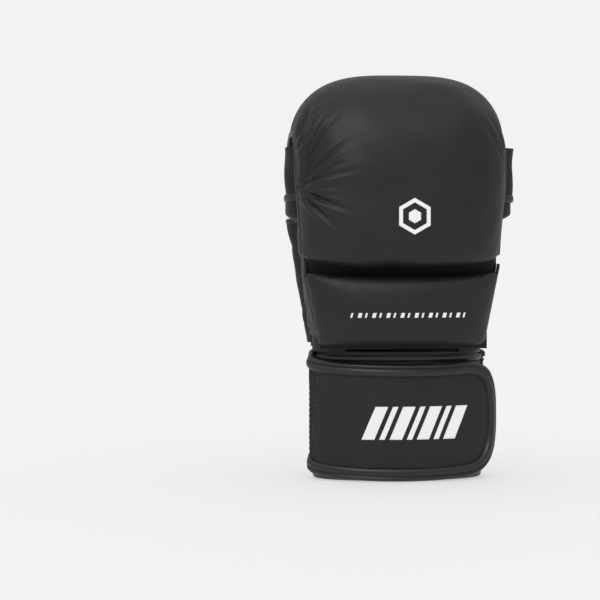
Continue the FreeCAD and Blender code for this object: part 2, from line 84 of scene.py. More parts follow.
def spline(points: Sequence, count: int, closed: bool = False, columns: int = 0) -> Array:
    """Evenly spaced points on the Catmull-Rom curve through the given points.

    Between b and c, with neighbours a and d, a point is b + t (c - a) / 2
    + t^2 (2a - 5b + 4c - d) / 2 + t^3 (3b - a - 3c + d) / 2.

    Args:
        points: Points that the curve goes through.
        count: Number of points wanted.
        closed: Joins the last point to the first.
        columns: How many leading columns measure the length; 0 for all.

    Returns:
        The points of the curve.
    """
    held = np.asarray(points, float)
    if closed:
        ring = np.concatenate([held[-1:], held, held[:2]])
    else:
        ring = np.concatenate([2 * held[:1] - held[1:2], held, 2 * held[-1:] - held[-2:-1]])
    a, b, c, d = (part[:, None, :] for part in (ring[:-3], ring[1:-2], ring[2:-1], ring[3:]))
    t = np.linspace(0.0, 1.0, 24, endpoint=False)[None, :, None]
    curve = b + t * (c - a) / 2 + t ** 2 * (2 * a - 5 * b + 4 * c - d) / 2
    curve = curve + t ** 3 * (3 * b - a - 3 * c + d) / 2
    end = held[:1] if closed else held[-1:]
    return resample(np.concatenate([curve.reshape(-1, held.shape[1]), end]), count, closed, columns)


def unit(vectors: Array) -> Array:
    """Vectors scaled to length 1, along their last axis."""
    return vectors / np.maximum(np.linalg.norm(vectors, axis=-1, keepdims=True), 1e-12)


def smoothstep(low: float, high: float, value: Array) -> Array:
    """0 below low, 1 above high, and 3t^2 - 2t^3 between them."""
    t = np.clip((value - low) / (high - low), 0.0, 1.0)
    return t * t * (3 - 2 * t)


def bell(value: Array, width: Union[float, Array]) -> Array:
    """exp(-(value / width)^2), a bump one width wide."""
    return np.exp(-(value / width) ** 2)


def spread(down: tuple, across: tuple) -> list:
    """Two arrays over a grid, one that runs down its rows and one along its columns.

    Args:
        down: Start, end and count of the rows' values.
        across: Start, end and count of the columns' values.

    Returns:
        Both arrays, rows by columns.
    """
    return np.meshgrid(np.linspace(*down), np.linspace(*across), indexing="ij")


def full_turn(count: int) -> Array:
    """Angles evenly spaced round a circle, without the repeated last one."""
    return np.linspace(0.0, 2 * np.pi, count, endpoint=False)


def squared(turn: Array, power: float) -> tuple:
    """Superellipse |a|^power + |b|^power = 1: a = cos t |cos t|^(2 / power - 1), and b of sin t."""
    return tuple(np.sign(wave) * np.abs(wave) ** (2 / power) for wave in (np.cos(turn), np.sin(turn)))


def normals(grid: Array, wrap_rows: bool = False, wrap_columns: bool = False) -> Array:
    """Unit normals of a grid of points: the cross product of its two slopes.

    Args:
        grid: Points, rows by columns by 3.
        wrap_rows: The last row joins the first.
        wrap_columns: The last column joins the first.

    Returns:
        One unit vector for each point.
    """
    slopes = []
    for axis, wraps in ((0, wrap_rows), (1, wrap_columns)):
        if wraps:
            slopes.append((np.roll(grid, -1, axis) - np.roll(grid, 1, axis)) / 2)
        else:
            slopes.append(np.gradient(grid, axis=axis))
    return unit(np.cross(slopes[0], slopes[1]))


def quads(rows: int, columns: int, wrap_rows: bool = False, wrap_columns: bool = False) -> Array:
    """Vertex numbers of the quads of a grid stored row by row.

    Args:
        rows: Rows of the grid.
        columns: Columns of the grid.
        wrap_rows: The last row joins the first.
        wrap_columns: The last column joins the first.

    Returns:
        Four numbers for each quad.
    """
    row = np.arange(rows if wrap_rows else rows - 1)[:, None]
    column = np.arange(columns if wrap_columns else columns - 1)[None, :]
    after_row, after_column = (row + 1) % rows, (column + 1) % columns
    corners = (row * columns + column, row * columns + after_column,
               after_row * columns + after_column, after_row * columns + column)
    return np.stack(corners, axis=-1).reshape(-1, 4)


def lids(rows: int, columns: int) -> list:
    """Faces that close the first and the last row of a grid whose columns wrap."""
    last = (rows - 1) * columns
    return [list(range(columns))[::-1], list(range(last, last + columns))]


@dataclass
class Form:
    """A mesh before it is a Blender object: points in millimetres and faces."""

    points: Array
    faces: list

    def joined(self, other: "Form") -> "Form":
        """This form and another in one."""
        shifted = [[index + len(self.points) for index in face] for face in other.faces]
        return Form(np.concatenate([self.points, other.points]), self.faces + shifted)


def merged(forms: Sequence[Form]) -> Form:
    """Several forms in one, in their order."""
    whole = forms[0]
    for form in forms[1:]:
        whole = whole.joined(form)
    return whole


def skin(grid: Array, thickness: Union[float, Array], wrap_rows: bool = False,
         wrap_columns: bool = False) -> Form:
    """Closed sheet: a grid of points, its copy moved in along the normals, and the rims between.

    Args:
        grid: Points of the outer face, rows by columns by 3.
        thickness: Distance to the other face, against the normal.
        wrap_rows: The last row joins the first.
        wrap_columns: The last column joins the first.

    Returns:
        The sheet.
    """
    rows, columns = grid.shape[:2]
    under = grid - normals(grid, wrap_rows, wrap_columns) * thickness
    outer = quads(rows, columns, wrap_rows, wrap_columns)
    inner = outer[:, ::-1] + rows * columns
    rims = []
    if not wrap_columns:
        side = np.arange(rows) * columns
        rims += [side, side + columns - 1]
    if not wrap_rows:
        end = np.arange(columns)
        rims += [end, end + (rows - 1) * columns]
    faces = outer.tolist() + inner.tolist()
    for number, rim in enumerate(rims):
        along_rows = number < 2 and not wrap_columns
        closes = wrap_rows if along_rows else wrap_columns
        after = np.roll(rim, -1) if closes else rim[1:]
        start = rim if closes else rim[:-1]
        lift = rows * columns
        faces += np.stack([start, after, after + lift, start + lift], axis=1).tolist()
    return Form(np.concatenate([grid.reshape(-1, 3), under.reshape(-1, 3)]), faces)


def path_frames(path: Array, facing: Array, closed: bool = False) -> tuple:
    """Directions along a path.

    Args:
        path: Points of the path.
        facing: Outward direction, one or one per point.
        closed: The path joins its own start.

    Returns:
        Tangents, the facing vectors made square to them, and the direction across both.
    """
    if closed:
        tangent = unit(np.roll(path, -1, 0) - np.roll(path, 1, 0))
    else:
        tangent = unit(np.gradient(path, axis=0))
    facing = np.broadcast_to(facing, path.shape)
    face = unit(facing - np.sum(facing * tangent, axis=1, keepdims=True) * tangent)
    return tangent, face, np.cross(tangent, face)


def roll(path: Array, facing: Array, half_width: float, half_height: float, sides: int = 14,
         power: float = 2.4, closed: bool = False) -> Form:
    """Rounded bar along a path: a superellipse |a|^power + |b|^power = 1 carried along it.

    Args:
        path: Middle line.
        facing: Direction of the bar's height, one or one per point.
        half_width: Half size across the path and the facing direction.
        half_height: Half size along the facing direction.
        sides: Points round the section.
        power: 2 for an ellipse, more for a squarer section.
        closed: The path joins its own start.

    Returns:
        The bar, with closed ends.
    """
    _, face, across = path_frames(path, facing, closed)
    a, b = squared(full_turn(sides), power)
    grid = (path[:, None] + across[:, None] * (half_width * a)[None, :, None]
            + face[:, None] * (half_height * b)[None, :, None])
    faces = quads(len(path), sides, closed, True).tolist()
    return Form(grid.reshape(-1, 3), faces if closed else faces + lids(len(path), sides))


def tape(path: Array, facing: Array, half_width: float, half_height: float, side: float = 1.0,
         closed: bool = False) -> Form:
    """Bound edge sewn down along one line: a full lip, a sewn valley and a narrow second lip.

    Over c from -1 to 1 across the tape its height is (1 - |c|^5)^0.5, less 0.6 of itself in a
    bell at the valley and 0.12 of it on the narrow lip. Its underside is flat.

    Args:
        path: Middle line.
        facing: Outward direction, one or one per point.
        half_width: Half width across the path.
        half_height: Half thickness.
        side: 1 or -1, the side on which the narrow lip lies.
        closed: The path joins its own start.

    Returns:
        The tape, with closed ends.
    """
    _, face, across = path_frames(path, facing, closed)
    valley, count = 0.22, 19
    c = np.sin(np.linspace(-np.pi / 2, np.pi / 2, count))
    dips = 0.6 * bell(c - valley, valley / 2) + 0.12 * smoothstep(0.2, 0.5, c)
    top = 2.0 * (1 - np.abs(c) ** 5) ** 0.5 * (1 - dips) - 1
    c = np.concatenate([c, c[-2:0:-3]])
    top = np.concatenate([top, np.full(len(c) - count, -1.0)])
    grid = (path[:, None] + across[:, None] * (side * half_width * c)[None, :, None]
            + face[:, None] * (half_height * top)[None, :, None])
    sides = len(c)
    faces = quads(len(path), sides, closed, True).tolist()
    return Form(grid.reshape(-1, 3), faces if closed else faces + lids(len(path), sides))


def stitches(path: Array, facing: Array, pitch: float = 3.2, length: float = 2.3,
             thread: float = 0.32) -> Form:
    """Row of sewn stitches: small spindles along a path, a little raised in their middle.

    Args:
        path: Seam line, on the surface.
        facing: Outward direction, one or one per point.
        pitch: From one stitch to the next.
        length: Length of a stitch.
        thread: Radius of the thread.

    Returns:
        All stitches as one form.
    """
    total = np.sum(np.linalg.norm(np.diff(path, axis=0), axis=1))
    count = max(2, int(total / pitch))
    rows = np.concatenate([path, np.broadcast_to(facing, path.shape)], axis=1)
    spaced = resample(rows, count, columns=3)
    middle = spaced[:, :3]
    tangent, face, across = path_frames(middle, spaced[:, 3:])
    along = np.array([-1.0, -0.6, 0.0, 0.6, 1.0])
    girth = np.array([0.25, 0.85, 1.0, 0.85, 0.25]) * thread
    lift = (1 - along ** 2) * thread * 0.7 - 0.35 * thread
    angle = full_turn(6)
    spindle = (tangent[:, None, None] * (along * length / 2)[None, :, None, None]
               + across[:, None, None] * (girth[:, None] * np.cos(angle))[None, :, :, None]
               + face[:, None, None] * (girth[:, None] * np.sin(angle) + lift[:, None])[None, :, :, None])
    points = middle[:, None, None] + spindle
    size = len(along) * len(angle)
    one = quads(len(along), len(angle), False, True).tolist() + lids(len(along), len(angle))
    faces = [[index + number * size for index in corners] for number in range(count) for corners in one]
    return Form(points.reshape(-1, 3), faces)


# ---------------------------------------------------------------- shader graphs

class Value:
    """A number or colour that runs through a shader graph; operators add Math nodes."""

    def __init__(self, graph: "Graph", socket: bpy.types.NodeSocket) -> None:
        """Hold a socket of a graph."""
        self.graph = graph
        self.socket = socket

    def _maths(self, operation: str, *others: Union["Value", float]) -> "Value":
        """One Math node fed with this value and others."""
        inputs = {index: other for index, other in enumerate((self, *others))}
        return self.graph.node("ShaderNodeMath", {"operation": operation}, inputs)

    def __add__(self, other: Union["Value", float]) -> "Value":
        """Sum."""
        return self._maths("ADD", other)

    def __mul__(self, other: Union["Value", float]) -> "Value":
        """Product."""
        return self._maths("MULTIPLY", other)

    def __rsub__(self, other: float) -> "Value":
        """Difference from a number."""
        return (self * -1.0) + other

    __radd__ = __add__
    __rmul__ = __mul__

    def sine(self) -> "Value":
        """Sine, in radians."""
        return self._maths("SINE")

    def size(self) -> "Value":
        """Absolute value."""
        return self._maths("ABSOLUTE")

    def between(self, low: float, high: float) -> "Value":
        """0 at low and 1 at high, eased and clamped."""
        settings = {"interpolation_type": "SMOOTHSTEP"}
        return self.graph.node("ShaderNodeMapRange", settings, {0: self, 1: low, 2: high})


class Graph:
    """The node tree of a material or of the world, and the shading node that it feeds."""

    def __init__(self, owner: Union[bpy.types.Material, bpy.types.World], shader: str) -> None:
        """Switch the owner's nodes on and find its shading node by name."""
        owner.use_nodes = True
        self.owner = owner
        self.tree = owner.node_tree
        self.shader = self.tree.nodes[shader]

    @classmethod
    def of_material(cls, name: str) -> "Graph":
        """Graph of a new material with a Principled shader."""
        return cls(bpy.data.materials.new(name), "Principled BSDF")

    def node(self, kind: str, settings: Optional[dict] = None, inputs: Optional[dict] = None,
             output: Union[int, str] = 0) -> Value:
        """Add a node of any type.

        Args:
            kind: The node's type name.
            settings: Its properties, set before its inputs.
            inputs: Values or numbers by socket name or number.
            output: Which output to hand on.

        Returns:
            The chosen output.
        """
        made = self.tree.nodes.new(kind)
        for name, setting in (settings or {}).items():
            setattr(made, name, setting)
        for key, given in (inputs or {}).items():
            if isinstance(given, Value):
                self.tree.links.new(given.socket, made.inputs[key])
            else:
                made.inputs[key].default_value = given
        return Value(self, made.outputs[output])

    def place(self) -> Value:
        """Object coordinates, in metres."""
        return self.node("ShaderNodeTexCoord", output="Object")

    def noise(self, scale: float, detail: float = 2.0, rough: float = 0.5) -> Value:
        """Soft random pattern; scale is in features per metre."""
        inputs = {"Vector": self.place(), "Scale": scale, "Detail": detail, "Roughness": rough}
        return self.node("ShaderNodeTexNoise", None, inputs)

    def cells(self, scale: float) -> Value:
        """Distance inside random cells; scale is in cells per metre."""
        return self.node("ShaderNodeTexVoronoi", None, {"Vector": self.place(), "Scale": scale})

    def mixed(self, share: Value, low: Sequence, high: Sequence) -> Value:
        """Colour between two colours."""
        settings = {"data_type": "RGBA"}
        return self.node("ShaderNodeMix", settings, {0: share, 6: (*low, 1.0), 7: (*high, 1.0)}, 2)

    def bump(self, height: Value, distance: float, strength: float = 1.0) -> Value:
        """Normals of a height pattern; distance is the height of 1, in metres."""
        inputs = {"Strength": strength, "Distance": distance, "Height": height}
        return self.node("ShaderNodeBump", None, inputs)

    def feed(self, name: str, value: Union[Value, float, tuple]) -> None:
        """Give the shader's socket a value or a number."""
        if isinstance(value, Value):
            self.tree.links.new(value.socket, self.shader.inputs[name])
        else:
            self.shader.inputs[name].default_value = value


@dataclass(frozen=True)
class Leather:
    """Smooth synthetic leather with a fine pebble grain."""

    name: str
    slot: str
    shade: float = 0.0095
    roughness: float = 0.44
    grain: float = 1500.0
    depth: float = 0.00005
    gloss: float = 0.36

    def material(self) -> bpy.types.Material:
        """Make the material: pebbles from cells, creases from a finer noise, soft stains."""
        graph = Graph.of_material(self.name)
        pebbles = graph.cells(self.grain).between(0.05, 0.75)
        pores = graph.noise(self.grain * 2.6, 3.0, 0.6)
        stains = graph.noise(38.0, 3.0, 0.55)
        low = (self.shade * 0.86, self.shade * 0.87, self.shade * 0.92)
        high = (self.shade * 1.22, self.shade * 1.22, self.shade * 1.3)
        graph.feed("Base Color", graph.mixed(stains.between(0.3, 0.7) * 0.7 + pores * 0.3, low, high))
        graph.feed("Roughness", stains * 0.08 + pores * 0.08 + (1 - pebbles) * -0.05 + self.roughness)
        graph.feed("Specular IOR Level", self.gloss)
        height = (1 - pebbles) * 0.75 + pores * 0.35
        graph.feed("Normal", graph.bump(height, self.depth, 0.9))
        return graph.owner


@dataclass(frozen=True)
class Cloth:
    """Woven lining: two crossed sets of threads with a little fuzz."""

    name: str
    slot: str
    shade: float = 0.005
    threads: float = 1500.0
    fuzz: float = 0.12

    def material(self) -> bpy.types.Material:
        """Make the material; a thread is one half wave of a sine across each direction."""
        graph = Graph.of_material(self.name)
        axes = [graph.node("ShaderNodeSeparateXYZ", None, {0: graph.place()}, name) for name in "XYZ"]
        turns = math.pi * self.threads
        across = ((axes[0] + axes[1]) * turns).sine()
        along = ((axes[2] + axes[1] * 0.5) * turns).sine()
        weave = (across * along).size()
        fluff = graph.noise(2600.0, 2.0)
        patches = graph.noise(60.0, 2.0)
        tone = weave * 0.5 + fluff * 0.3 + patches * 0.2
        low = (self.shade * 0.6,) * 3
        high = (self.shade * 1.7, self.shade * 1.7, self.shade * 1.8)
        graph.feed("Base Color", graph.mixed(tone, low, high))
        graph.feed("Roughness", fluff * 0.1 + 0.82)
        graph.feed("Sheen Weight", self.fuzz)
        graph.feed("Sheen Roughness", 0.5)
        graph.feed("Normal", graph.bump(weave * 0.7 + fluff * 0.5, 0.00012, 0.8))
        return graph.owner


@dataclass(frozen=True)
class Thread:
    """Twisted sewing thread."""

    name: str
    slot: str
    shade: float = 0.016

    def material(self) -> bpy.types.Material:
        """Make the material: a fine slanted twist across a slightly shiny thread."""
        graph = Graph.of_material(self.name)
        axes = [graph.node("ShaderNodeSeparateXYZ", None, {0: graph.place()}, name) for name in "XZ"]
        twist = ((axes[0] + axes[1]) * 9000.0).sine() * 0.5 + 0.5
        graph.feed("Base Color", graph.mixed(twist, (self.shade * 0.6,) * 3, (self.shade * 1.4,) * 3))
        graph.feed("Roughness", graph.noise(3000.0) * 0.15 + 0.4)
        graph.feed("Normal", graph.bump(twist, 0.00006, 0.6))
        return graph.owner


@dataclass(frozen=True)
class Print:
    """White screen print on leather: thin, matt, worn a little at random."""

    name: str
    slot: str
    shade: float = 0.97

    def material(self) -> bpy.types.Material:
        """Make the material: the grain shows through, and the white is a touch uneven."""
        graph = Graph.of_material(self.name)
        wear = graph.noise(900.0, 4.0, 0.7).between(0.25, 0.42)
        graph.feed("Base Color", graph.mixed(wear, (self.shade * 0.9,) * 3, (self.shade,) * 3))
        graph.feed("Roughness", graph.noise(500.0) * 0.15 + 0.45)
        graph.feed("Normal", graph.bump(graph.cells(1500.0), 0.00003, 0.6))
        return graph.owner


class Finish(Enum):
    """The glove's finishes."""

    LEATHER = Leather("pad_leather", "leather")
    PANEL = Leather("panel_leather", "leather", shade=0.009, roughness=0.52, grain=1300.0, gloss=0.3)
    EDGE = Leather("edge_leather", "binding", shade=0.0105, roughness=0.33, grain=1800.0, depth=0.00003,
                   gloss=0.5)
    LINING = Cloth("lining_cloth", "lining")
    LOOP = Cloth("loop_tape", "loop_tape", shade=0.009, threads=700.0, fuzz=0.4)
    HOOK = Cloth("hook_tape", "hook_tape", shade=0.014, threads=620.0, fuzz=0.0)
    THREAD = Thread("black_thread", "binding")
    PRINT = Print("white_print", "leather")


class Body(Enum):
    """The bodies that move."""

    HAND = "hand"
    PAD = "finger_pad"
    THUMB = "thumb"
    STRAP = "strap"


@dataclass(frozen=True)
class Bend:
    """How a piece crosses a joint: from one body to another between two points, in millimetres."""

    first: Body
    second: Body
    start: tuple
    end: tuple


KNUCKLE_BEND = Bend(Body.HAND, Body.PAD, (0.0, -24.0, 136.5), (0.0, -24.0, 142.5))
SIDE_BEND = Bend(Body.HAND, Body.PAD, (0.0, -22.0, 146.0), (0.0, -22.0, 177.0))
THUMB_BEND = Bend(Body.HAND, Body.THUMB, (-55.0, 8.0, 120.0), (-55.0, 17.0, 120.0))
STRAP_BEND = Bend(Body.HAND, Body.STRAP, (-60.0, 1.0, 40.0), (-56.0, -12.0, 40.0))


@dataclass
class Workshop:
    """Turns forms into pieces, and keeps one material for each finish."""

    materials: dict = field(default_factory=dict)
    pieces: dict = field(default_factory=dict)

    def material(self, finish: Finish) -> bpy.types.Material:
        """The material of a finish, made when first asked for."""
        if finish not in self.materials:
            self.materials[finish] = finish.value.material()
        return self.materials[finish]

    def mesh(self, name: str, form: Form) -> bpy.types.Object:
        """Make an object of a form, its doubles merged and its faces outward.

        Args:
            name: The object's name.
            form: What it is made of, in millimetres.

        Returns:
            The object, smooth and linked to the scene.
        """
        data = bpy.data.meshes.new(name)
        data.from_pydata((form.points * MM).tolist(), [], form.faces)
        work = bmesh.new()
        work.from_mesh(data)
        bmesh.ops.remove_doubles(work, verts=work.verts, dist=1e-6)
        bmesh.ops.dissolve_degenerate(work, edges=work.edges, dist=1e-7)
        bmesh.ops.recalc_face_normals(work, faces=work.faces)
        work.to_mesh(data)
        work.free()
        data.polygons.foreach_set("use_smooth", np.ones(len(data.polygons), bool))
        made = bpy.data.objects.new(name, data)
        bpy.context.scene.collection.objects.link(made)
        return made

    def finish(self, piece: bpy.types.Object, finish: Finish, where: Union[Body, Bend],
               stands_for: Sequence[str] = (), fill: Optional[float] = None) -> bpy.types.Object:
        """Dress a piece, tie it to the body that carries it or fix a bending piece where it stands, and hide
        the plain solids that it stands for.

        Args:
            piece: The object, its mesh final.
            finish: Its finish.
            where: The body that it rides on, or the bend that it crosses; a bending piece is only fixed in
                place, not bent.
            stands_for: Nodes that it replaces.
            fill: How tight a padded piece is, from 0 to 1; not used.

        Returns:
            The same object.
        """
        piece.data.materials.clear()
        piece.data.materials.append(self.material(finish))
        if isinstance(where, Bend):
            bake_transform(piece)
        else:
            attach(piece, where.value)
        if stands_for:
            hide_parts(*stands_for)
        self.pieces[piece.name] = piece
        log.info("%s: %d faces, %s", piece.name, len(piece.data.polygons), finish.name)
        return piece

    def add(self, name: str, form: Form, finish: Finish, where: Union[Body, Bend],
            stands_for: Sequence[str] = (), fill: Optional[float] = None) -> bpy.types.Object:
        """Make a piece of a form and finish it."""
        return self.finish(self.mesh(name, form), finish, where, stands_for, fill)

    def project(self, name: str, form: Form, target: bpy.types.Object, outward: float,
                finish: Finish, where: Body, lift: float = 0.12) -> bpy.types.Object:
        """Lay a flat form on a surface along Y and give it a film's thickness.

        Args:
            name: The new piece's name.
            form: Flat form, standing clear of the surface on its outer side.
            target: The piece that it lies on.
            outward: -1 where the surface faces the back of the hand, 1 where it faces the palm.
            finish: The film's finish.
            where: The body that it rides on.
            lift: Height of the film above the surface, in millimetres.

        Returns:
            The new piece.
        """
        piece = self.mesh(name, form)
        wrap = piece.modifiers.new("wrap", "SHRINKWRAP")
        wrap.target = target
        wrap.wrap_method = "PROJECT"
        wrap.use_project_y = True
        wrap.use_positive_direction = outward < 0
        wrap.use_negative_direction = outward > 0
        thick = piece.modifiers.new("thick", "SOLIDIFY")
        thick.thickness = lift * 2 * MM
        thick.offset = 0.0
        bake_modifiers(piece)
        return self.finish(piece, finish, where)


def bake_modifiers(piece: bpy.types.Object) -> None:
    """Replace a piece's mesh with what its modifiers make of it."""
    graph = bpy.context.evaluated_depsgraph_get()
    shaped = bpy.data.meshes.new_from_object(piece.evaluated_get(graph))
    old = piece.data
    piece.modifiers.clear()
    piece.data = shaped
    bpy.data.meshes.remove(old)


@dataclass(frozen=True)
class Stencil:
    """Flat marks that stand clear of a surface, ready to be laid on it: y and grid size in common."""

    y: float
    rows: int
    columns: int

    def cut(self, x: Array, z: Array) -> Form:
        """Flat form of a grid's x and z."""
        grid = np.stack([x, np.full_like(x, self.y), z], axis=-1)
        return Form(grid.reshape(-1, 3), quads(self.rows, self.columns).tolist())

    def bar(self, left: float, width: float, low: float, high: float, lean: float, level: float,
            climb: float = 0.0) -> Form:
        """Parallelogram: x = left + width u + lean (z - level), with z from low to high, plus climb u.

        Args:
            left: Left edge at the level.
            width: Across, as u goes from 0 to 1.
            low: Foot of the left edge.
            high: Head of the left edge.
            lean: How far x shifts for each millimetre of height.
            level: Height at which the left edge is at left.
            climb: How much higher the right edge lies.

        Returns:
            The mark.
        """
        z, across = spread((low, high, self.rows), (0.0, 1.0, self.columns))
        return self.cut(left + width * across + lean * (z - level), z + climb * across)

    def hexagon(self, middle: tuple, inner: float, outer: float) -> Form:
        """Six-sided ring: a side at angle t within it lies at r cos 30 / cos t.

        Args:
            middle: x and z of its middle.
            inner: Inner radius to the corners, 0 for a full spot.
            outer: Outer radius to the corners.

        Returns:
            The mark.
        """
        turn, share = spread((0.0, 2 * np.pi, self.rows), (0.0, 1.0, self.columns))
        side = np.mod(turn, np.pi / 3) - np.pi / 6
        reach = (inner + (outer - inner) * share) * math.cos(math.pi / 6) / np.cos(side)
        return self.cut(middle[0] + reach * np.sin(turn), middle[1] + reach * np.cos(turn))


def frill(x: Array, y: Array, z: Array, size: float, wave: float) -> Array:
    """Soft uneven height of leather: a sum of crossed sine waves of four directions.

    Args:
        x: Across.
        y: Back to palm.
        z: Up.
        size: Greatest height of the sum, in millimetres.
        wave: Length of the longest wave, in millimetres.

    Returns:
        The height at each point.
    """
    turn = 2 * np.pi / wave
    waves = (np.sin(turn * (0.9 * x + 0.3 * y + 0.4 * z) + 0.7)
             + np.sin(turn * 1.37 * (-0.4 * x + 0.8 * y + 0.7 * z) + 2.1)
             + 0.7 * np.sin(turn * 2.1 * (0.7 * x - 0.5 * y + 0.8 * z) + 4.4)
             + 0.5 * np.sin(turn * 3.3 * (0.2 * x + 0.9 * y - 0.6 * z) + 1.3))
    return waves * size / 3.2


def inflate(piece: bpy.types.Object, held: Callable[[Array], Array], voxel: float,
            pressure: float, cap: float, frames: int = 20) -> None:
    """Blow a padded piece up with cloth, held where it is sewn down.

    Each point may move no further than the cap: its step is cap * tanh(step / cap).

    Args:
        piece: Closed object, a little slimmer than the finished pad.
        held: From points in millimetres to how firmly each is held, 0 to 1.
        voxel: Size of the remesh, in millimetres.
        pressure: Air pressure of the cloth.
        cap: Furthest that a point may move, in millimetres.
        frames: Steps of the simulation.
    """
    even = piece.modifiers.new("even", "REMESH")
    even.mode = "VOXEL"
    even.voxel_size = voxel * MM
    bake_modifiers(piece)
    before = points_of(piece)
    grip = held(before)
    group = piece.vertex_groups.new(name="held")
    for share in (0.25, 0.5, 0.75, 1.0):
        chosen = np.flatnonzero(np.abs(grip - share) <= 0.125)
        group.add(chosen.tolist(), share, "REPLACE")
    cloth = piece.modifiers.new("cloth", "CLOTH")
    settings = cloth.settings
    settings.quality = 5
    settings.mass = 0.3
    settings.tension_stiffness = 25.0
    settings.compression_stiffness = 25.0
    settings.bending_stiffness = 2.0
    settings.use_pressure = True
    settings.uniform_pressure_force = pressure
    settings.effector_weights.gravity = 0.0
    settings.vertex_group_mass = "held"
    scene = bpy.context.scene
    for number in range(1, frames + 1):
        scene.frame_set(number)
    bake_modifiers(piece)
    scene.frame_set(1)
    piece.vertex_groups.clear()
    step = points_of(piece) - before
    length = np.linalg.norm(step, axis=1, keepdims=True)
    move_points(piece, before + step / np.maximum(length, 1e-9) * cap * np.tanh(length / cap))
    ease = piece.modifiers.new("ease", "SMOOTH")
    ease.factor = 0.5
    ease.iterations = 3
    fine = piece.modifiers.new("fine", "SUBSURF")
    fine.levels = fine.render_levels = 1
    bake_modifiers(piece)
    piece.data.polygons.foreach_set("use_smooth", np.ones(len(piece.data.polygons), bool))


def points_of(piece: bpy.types.Object) -> Array:
    """Points of a piece, in millimetres."""
    flat = np.empty(len(piece.data.vertices) * 3)
    piece.data.vertices.foreach_get("co", flat)
    return flat.reshape(-1, 3) / MM


def move_points(piece: bpy.types.Object, points: Array) -> None:
    """Give a piece new points, in millimetres."""
    piece.data.vertices.foreach_set("co", (points * MM).reshape(-1))
    piece.data.update()


# ---------------------------------------------------------------- the hand's outer form

@dataclass(frozen=True)
class Oval:
    """Elliptical form round the wrist and hand; turn 0 is the back, 90 the little side."""

    half_width: float
    half_depth: float
    grow_width: float = 0.0
    grow_depth: float = 0.0
    base: float = 0.0

    def at(self, turn: Array, z: Array, out: Union[float, Array] = 0.0) -> Array:
        """Points (a sin t, -b cos t, z), where a and b grow with the height.

        Args:
            turn: Angle round the form, in degrees.
            z: Height, in millimetres.
            out: Distance outside the form.

        Returns:
            Points with the common shape of the inputs and 3 columns.
        """
        turn, z, out = np.broadcast_arrays(np.radians(turn), z, out)
        a = self.half_width + self.grow_width * (z - self.base) + out
        b = self.half_depth + self.grow_depth * (z - self.base) + out
        return np.stack([a * np.sin(turn), -b * np.cos(turn), z], axis=-1)

    def facing(self, turn: Array) -> Array:
        """Outward directions, proportional to (sin t / a, -cos t / b)."""
        turn = np.radians(np.asarray(turn, float))
        way = [np.sin(turn) / self.half_width, -np.cos(turn) / self.half_depth, np.zeros_like(turn)]
        return unit(np.stack(way, axis=-1))

    def outward(self, points: Array) -> Array:
        """Outward directions at points near the form: (x / a^2, y / b^2, 0), made length 1."""
        return unit(points * [1 / self.half_width ** 2, 1 / self.half_depth ** 2, 0.0])


HAND_FORM = Oval(54.5, 27.5, 11.5 / 94.0, 6.5 / 94.0, 84.0)


